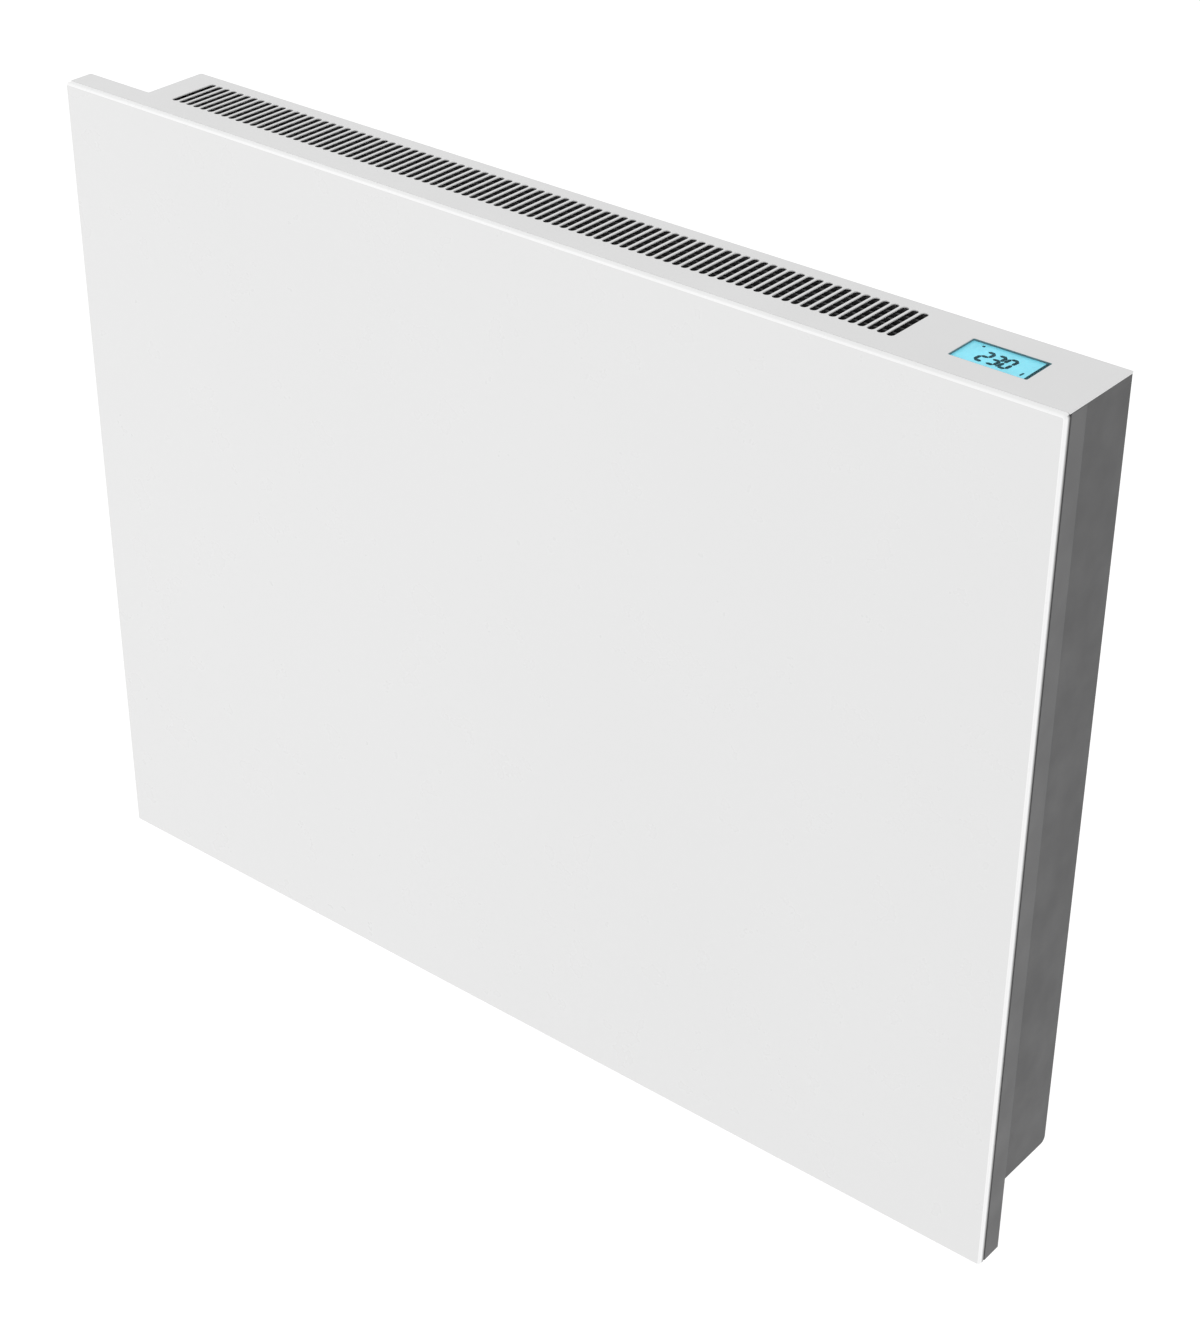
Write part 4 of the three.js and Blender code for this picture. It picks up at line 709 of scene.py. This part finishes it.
def make_display_ink(finishes):
    """The dark segments of the display, under its window."""
    point_x, point_y = on_digit(POINT_AT, (0, 0))
    line_x = on_window(1, 0)[0] - LINE_FROM_RIGHT
    outlines = [
        circle(point_x, point_y + POINT_RISE, POINT_R, 12),
        rectangle(*on_window(*MARK_AT), *MARK_SIZE, MARK_R, INK_STEPS),
        slanted_bar(*on_window(*BAR_AT)),
        rectangle(line_x, WINDOW[1], LINE_T, WINDOW[3] - LINE_SHORTER, BAR_R, INK_STEPS),
    ]
    for number, character in enumerate(READING):
        for key in DIGITS[character]:
            start, end = (on_digit(number, point) for point in SEGMENTS[key])
            outlines.append(segment_outline(start, end))
    shell = Shell()
    for outline in outlines:
        shell.block(outline, levels(*INK_Z))
    dress(shell.build("display_ink", [finishes["ink"]]), HEATER, "display")


GASKET_T = 0.35
GASKET_GAP = 0.02
GASKET_RISE = 0.05


def make_display_gasket(finishes):
    """A thin dark seal round the display's window."""
    low, high = corners_mm("display_lens")
    x, y, width, length, radius = WINDOW
    outer = rectangle(x, y, width - 2 * GASKET_GAP, length - 2 * GASKET_GAP, radius, WINDOW_STEPS)
    inner = rectangle(x, y, width - 2 * GASKET_T, length - 2 * GASKET_T, radius - GASKET_T,
                      WINDOW_STEPS)
    shell = Shell()
    shell.block(outer, levels(low.z, high.z + GASKET_RISE), [inner])
    dress(shell.build("display_gasket", [finishes["seal"]]), HEATER, "black_plastic")


# ---------------------------------------------------------------- fasteners

def named_from(start):
    return sorted(name for name in frame["nodes"] if name.startswith(start))


def middle_of(node):
    low, high = corners_mm(node)
    return (low + high) / 2


def crossed(reach, width):
    """The outline of a cross recess."""
    w = width / 2
    corners = [(reach, -w), (reach, w), (w, w), (w, reach), (-w, reach), (-w, w), (-reach, w),
               (-reach, -w), (-w, -w), (-w, -reach), (w, -reach), (w, -w)]
    return rounded(corners, 0)


SCREW_HEAD_R = 3.6
SCREW_HEAD_H = 2.0
SCREW_SEAT_R = 0.15
SCREW_DOME_R = 1.35
SCREW_R = 1.9
SCREW_L = 6.0
SCREW_POINT_R = 1.14
SCREW_POINT_L = 0.9
SCREW_IN_HEAD = 0.3
RECESS_REACH = 1.9
RECESS_W = 0.8
RECESS_FLOOR = 0.5
RECESS_TAPER = 0.25


def make_screws(finishes):
    """Pan-head screws with a cross recess. They share one shape, drawn about the head's seat."""
    recess = [(-RECESS_TAPER, RECESS_FLOOR), (0, SCREW_HEAD_H)]
    shape = Shell()
    shape.block(circle(0, 0, SCREW_HEAD_R, 32),
                levels(0, SCREW_HEAD_H, SCREW_SEAT_R, SCREW_DOME_R, 6),
                pockets=[(crossed(RECESS_REACH, RECESS_W), recess)], place=BACK)
    shape.lathe([(0, -SCREW_L), (SCREW_POINT_R, -SCREW_L), (SCREW_R, SCREW_POINT_L - SCREW_L),
                 (SCREW_R, SCREW_IN_HEAD), (0, SCREW_IN_HEAD)], BACK, 20)
    pattern = shape.build("screw_pattern", [finishes["steel"]])
    for name in named_from("rear_screw") + named_from("panel_screw"):
        middle = middle_of(name)
        seat = corners_mm(name)[1].y - SCREW_HEAD_H
        mesh = pattern.data.copy()
        mesh.name = name + "_crossed"
        mesh.transform(Matrix.Translation(Vector((middle.x, seat, middle.z)) * MM))
        piece = bpy.data.objects.new(mesh.name, mesh)
        bpy.context.scene.collection.objects.link(piece)
        dress(piece, HEATER, "steel", name)
    bpy.data.objects.remove(pattern)


# A rivet's side as (radius, height), from its rear end forwards to the top of its dome.
RIVET_PROFILE = [(0, 0), (2, 0), (2, 3.6), (4, 3.6), (4, 3.9), (3.7, 4.3), (3.1, 4.75),
                 (2.2, 5.05), (1.1, 5.18), (0, 5.2)]


def make_rivets(finishes):
    """Domed rivets, with their heads to the front."""
    for name in named_from("rivet"):
        middle = middle_of(name)
        rear = corners_mm(name)[1].y
        shell = Shell()
        shell.lathe(RIVET_PROFILE, Matrix.Translation((middle.x, rear, middle.z)) @ FORWARDS)
        dress(shell.build(name + "_domed", [finishes["steel"]]), BRACKET, "steel", name)


# ---------------------------------------------------------------- fittings in the bottom

GLAND_GAP = 0.3
GLAND_BORE_R = 4.0
GLAND_FLATS = 8
GLAND_FLATS_R = 9
GLAND_FLATS_CORNER_R = 0.8
GLAND_COLLAR_H = 3
GLAND_CAP_R = 7.2
GLAND_CAP_TOP = 9.2
GLAND_RIBS = 16
GLAND_RIB_DEPTH = 0.35
THREAD_RADII = (6.5, 6.1)
THREAD_START = -9
THREAD_STEP = 0.75
THREAD_POINTS = 13


def ribbed(radius, depth, ribs):
    """A round outline with shallow grip ribs, each from four points."""
    points = []
    for i in range(ribs * 4):
        reach = radius - (depth if i % 4 in (2, 3) else 0)
        way = unit(2 * math.pi * i / (ribs * 4))
        points.append((way * reach, way))
    return points


def make_gland(finishes):
    """The cable gland: a collar with flats, a ribbed cap, a tapered tail and its thread."""
    middle = middle_of("cable_gland")
    seat = corners_mm("rear_cover")[0].z - GLAND_GAP
    end = seat - corners_mm("cable_gland")[0].z
    place = Matrix.Translation((middle.x, middle.y, seat)) @ DOWN
    bore = circle(0, 0, GLAND_BORE_R, 32)
    flats = [tuple(unit(math.radians(360 * i / GLAND_FLATS)) * GLAND_FLATS_R)
             for i in range(GLAND_FLATS)]
    shell = Shell()
    shell.block(rounded(flats, GLAND_FLATS_CORNER_R, 3), levels(0, GLAND_COLLAR_H, 0.2, 0.5),
                [bore], place=place)
    shell.block(ribbed(GLAND_CAP_R, GLAND_RIB_DEPTH, GLAND_RIBS),
                levels(GLAND_COLLAR_H, GLAND_CAP_TOP, 0, 0.6), [bore], place=place)
    tail = [(7.1, 8.6), (7.1, 9.2), (6.7, 10.4), (6.0, end - 1.6), (5.6, end - 0.5),
            (5.15, end), (4.4, end), (GLAND_BORE_R, end - 0.4)]
    thread = [(THREAD_RADII[i % 2], THREAD_START + i * THREAD_STEP)
              for i in range(THREAD_POINTS)]
    for ring in (tail, thread):
        ends = [(GLAND_BORE_R, ring[0][1]), *ring, (GLAND_BORE_R, ring[-1][1])]
        closed = list(dict.fromkeys(ends))
        shell.lathe([*closed, closed[0]], place)
    piece = shell.build("cable_gland_ribbed", [finishes["black"]])
    dress(piece, HEATER, "black_plastic", "cable_gland")


# The sensor's side as (radius, height), from its rounded tip up to the top of its collar.
SENSOR_PROFILE = [(0, -8), (0.8, -7.9), (1.4, -7.4), (2.1, -6.6), (2.4, -5.6), (2.4, 1.3),
                  (3.8, 1.3), (3.8, 2.9), (3.4, 3.3), (0, 3.3)]


def make_room_sensor(finishes):
    middle = middle_of("room_sensor")
    zero = corners_mm("room_sensor")[0].z - SENSOR_PROFILE[0][1]
    shell = Shell()
    shell.lathe(SENSOR_PROFILE, Matrix.Translation((middle.x, middle.y, zero)))
    piece = shell.build("room_sensor_probe", [finishes["plastic"]])
    dress(piece, HEATER, "white_plastic", "room_sensor")


ROCKER_TILT = math.radians(10)
# The middle of a slope of the rocker when it stands level, from its pivot, in X and Z.
ROCKER_SLOPE_MIDDLE = (5.25, -3.53)
# The marks' lower and upper face, from the slope.
ROCKER_MARK_Z = (-0.02, 0.06)
ON_BAR = (0.7, 3.8)
ON_BAR_R = 0.15
OFF_RING_RADII = (1.95, 1.3)


def make_rocker_marks(finishes):
    """I and O on the two slopes of the rocker, which is pressed in at its right end."""
    hinge = next(joint for joint in frame["joints"] if joint["name"] == "power_rocker")
    pivot = Matrix.Translation(Vector(hinge["pos_m"]) / MM)
    rest = Matrix.Rotation(-ROCKER_TILT, 4, "Y")
    x, z = ROCKER_SLOPE_MIDDLE
    outer, inner = (circle(0, 0, radius, 32) for radius in OFF_RING_RADII)
    marks = {1: (rectangle(0, 0, *ON_BAR, ON_BAR_R, 3), []), -1: (outer, [inner])}
    shell = Shell()
    for side, (outline, holes) in marks.items():
        tilt = Matrix.Rotation(side * ROCKER_TILT, 4, "Y")
        slope = Matrix.Translation((side * x, 0, z)) @ tilt @ DOWN
        shell.block(outline, levels(*ROCKER_MARK_Z), holes, place=pivot @ rest @ slope)
    dress(shell.build("rocker_marks", [finishes["plastic"]]), ROCKER, "white_plastic")


# ---------------------------------------------------------------- soft edges

# The width of the bevel on each node that is shown as its solid, in millimetres.
SOFT_EDGES = {
    "front_tray": 0.45, "side_panel_left": 0.4, "side_panel_right": 0.4, "rear_cover": 0.35,
    "upper_rail": 0.4, "lower_rail": 0.4, "bracket_strap_left": 0.4, "bracket_strap_right": 0.4,
    "partition_plate": 0.3, "switch_body": 0.4, "power_rocker": 0.35, "control_housing": 0.4,
    "display_bezel": 0.3, "terminal_block": 0.5,
}
WELD_WITHIN = 1e-6
FLAT_BELOW = math.radians(1)
BEVEL_ABOVE = math.radians(35)
BEVEL_SEGMENTS = 3


def soften_edges():
    """Rounds the edges of the folded sheets and mouldings that keep their solids' shape."""
    for name, width in SOFT_EDGES.items():
        node = frame["nodes"][name]
        weld = node.modifiers.new("weld", "WELD")
        weld.merge_threshold = WELD_WITHIN
        merge = node.modifiers.new("merge", "DECIMATE")
        merge.decimate_type = "DISSOLVE"
        merge.angle_limit = FLAT_BELOW
        edge = node.modifiers.new("edges", "BEVEL")
        edge.width = width * MM
        edge.segments = BEVEL_SEGMENTS
        edge.limit_method = "ANGLE"
        edge.angle_limit = BEVEL_ABOVE
        edge.harden_normals = True


# ---------------------------------------------------------------- stage and light

# Lengths in metres.
FLOOR_Z = -0.95
FLOOR_REACH = 40
FLOOR_GLOW = 0.4
WORLD_STRENGTH = 0.85
KEY_PLACE = (-1.3, -1.6, 1.5)
KEY_SIZE = 1.6
KEY_POWER = 10


def make_stage():
    mesh = bpy.data.meshes.new("floor")
    reach = FLOOR_REACH
    corners = [(-reach, -reach), (reach, -reach), (reach, reach), (-reach, reach)]
    mesh.from_pydata([(x, y, FLOOR_Z) for x, y in corners], [], [(0, 1, 2, 3)])
    floor = bpy.data.objects.new("floor", mesh)
    bpy.context.scene.collection.objects.link(floor)
    material, _, _, shader = new_material("floor", (0.8, 0.8, 0.8), 0.9, specular=0.1)
    shader.inputs["Emission Color"].default_value = (1, 1, 1, 1)
    shader.inputs["Emission Strength"].default_value = FLOOR_GLOW
    mesh.materials.append(material)


def make_world():
    world = bpy.data.worlds.new("studio")
    world.use_nodes = True
    background = world.node_tree.nodes["Background"]
    background.inputs["Color"].default_value = (1, 1, 1, 1)
    background.inputs["Strength"].default_value = WORLD_STRENGTH
    bpy.context.scene.world = world


def make_key_light():
    """A softbox at the upper left, turned to the heater's middle."""
    data = bpy.data.lights.new("key", "AREA")
    data.shape = "RECTANGLE"
    data.size = data.size_y = KEY_SIZE
    data.energy = KEY_POWER
    light = bpy.data.objects.new("key", data)
    bpy.context.scene.collection.objects.link(light)
    light.location = KEY_PLACE
    light.rotation_mode = "QUATERNION"
    middle = (cad_low + cad_high) / 2
    light.rotation_quaternion = (middle - Vector(KEY_PLACE)).to_track_quat("-Z", "Y")


def make_lights():
    make_world()
    make_key_light()
    view = bpy.context.scene.view_settings
    view.view_transform = "Standard"
    view.look = "None"


# ---------------------------------------------------------------- the model

make_camera()
finishes = make_materials()
finish_nodes(finishes)
soften_edges()
for make in (make_front_glass, make_top_cover, make_slot_shade_bars, make_display_ink,
             make_display_gasket, make_screws, make_rivets, make_gland, make_room_sensor,
             make_rocker_marks):
    make(finishes)
make_stage()
make_lights()
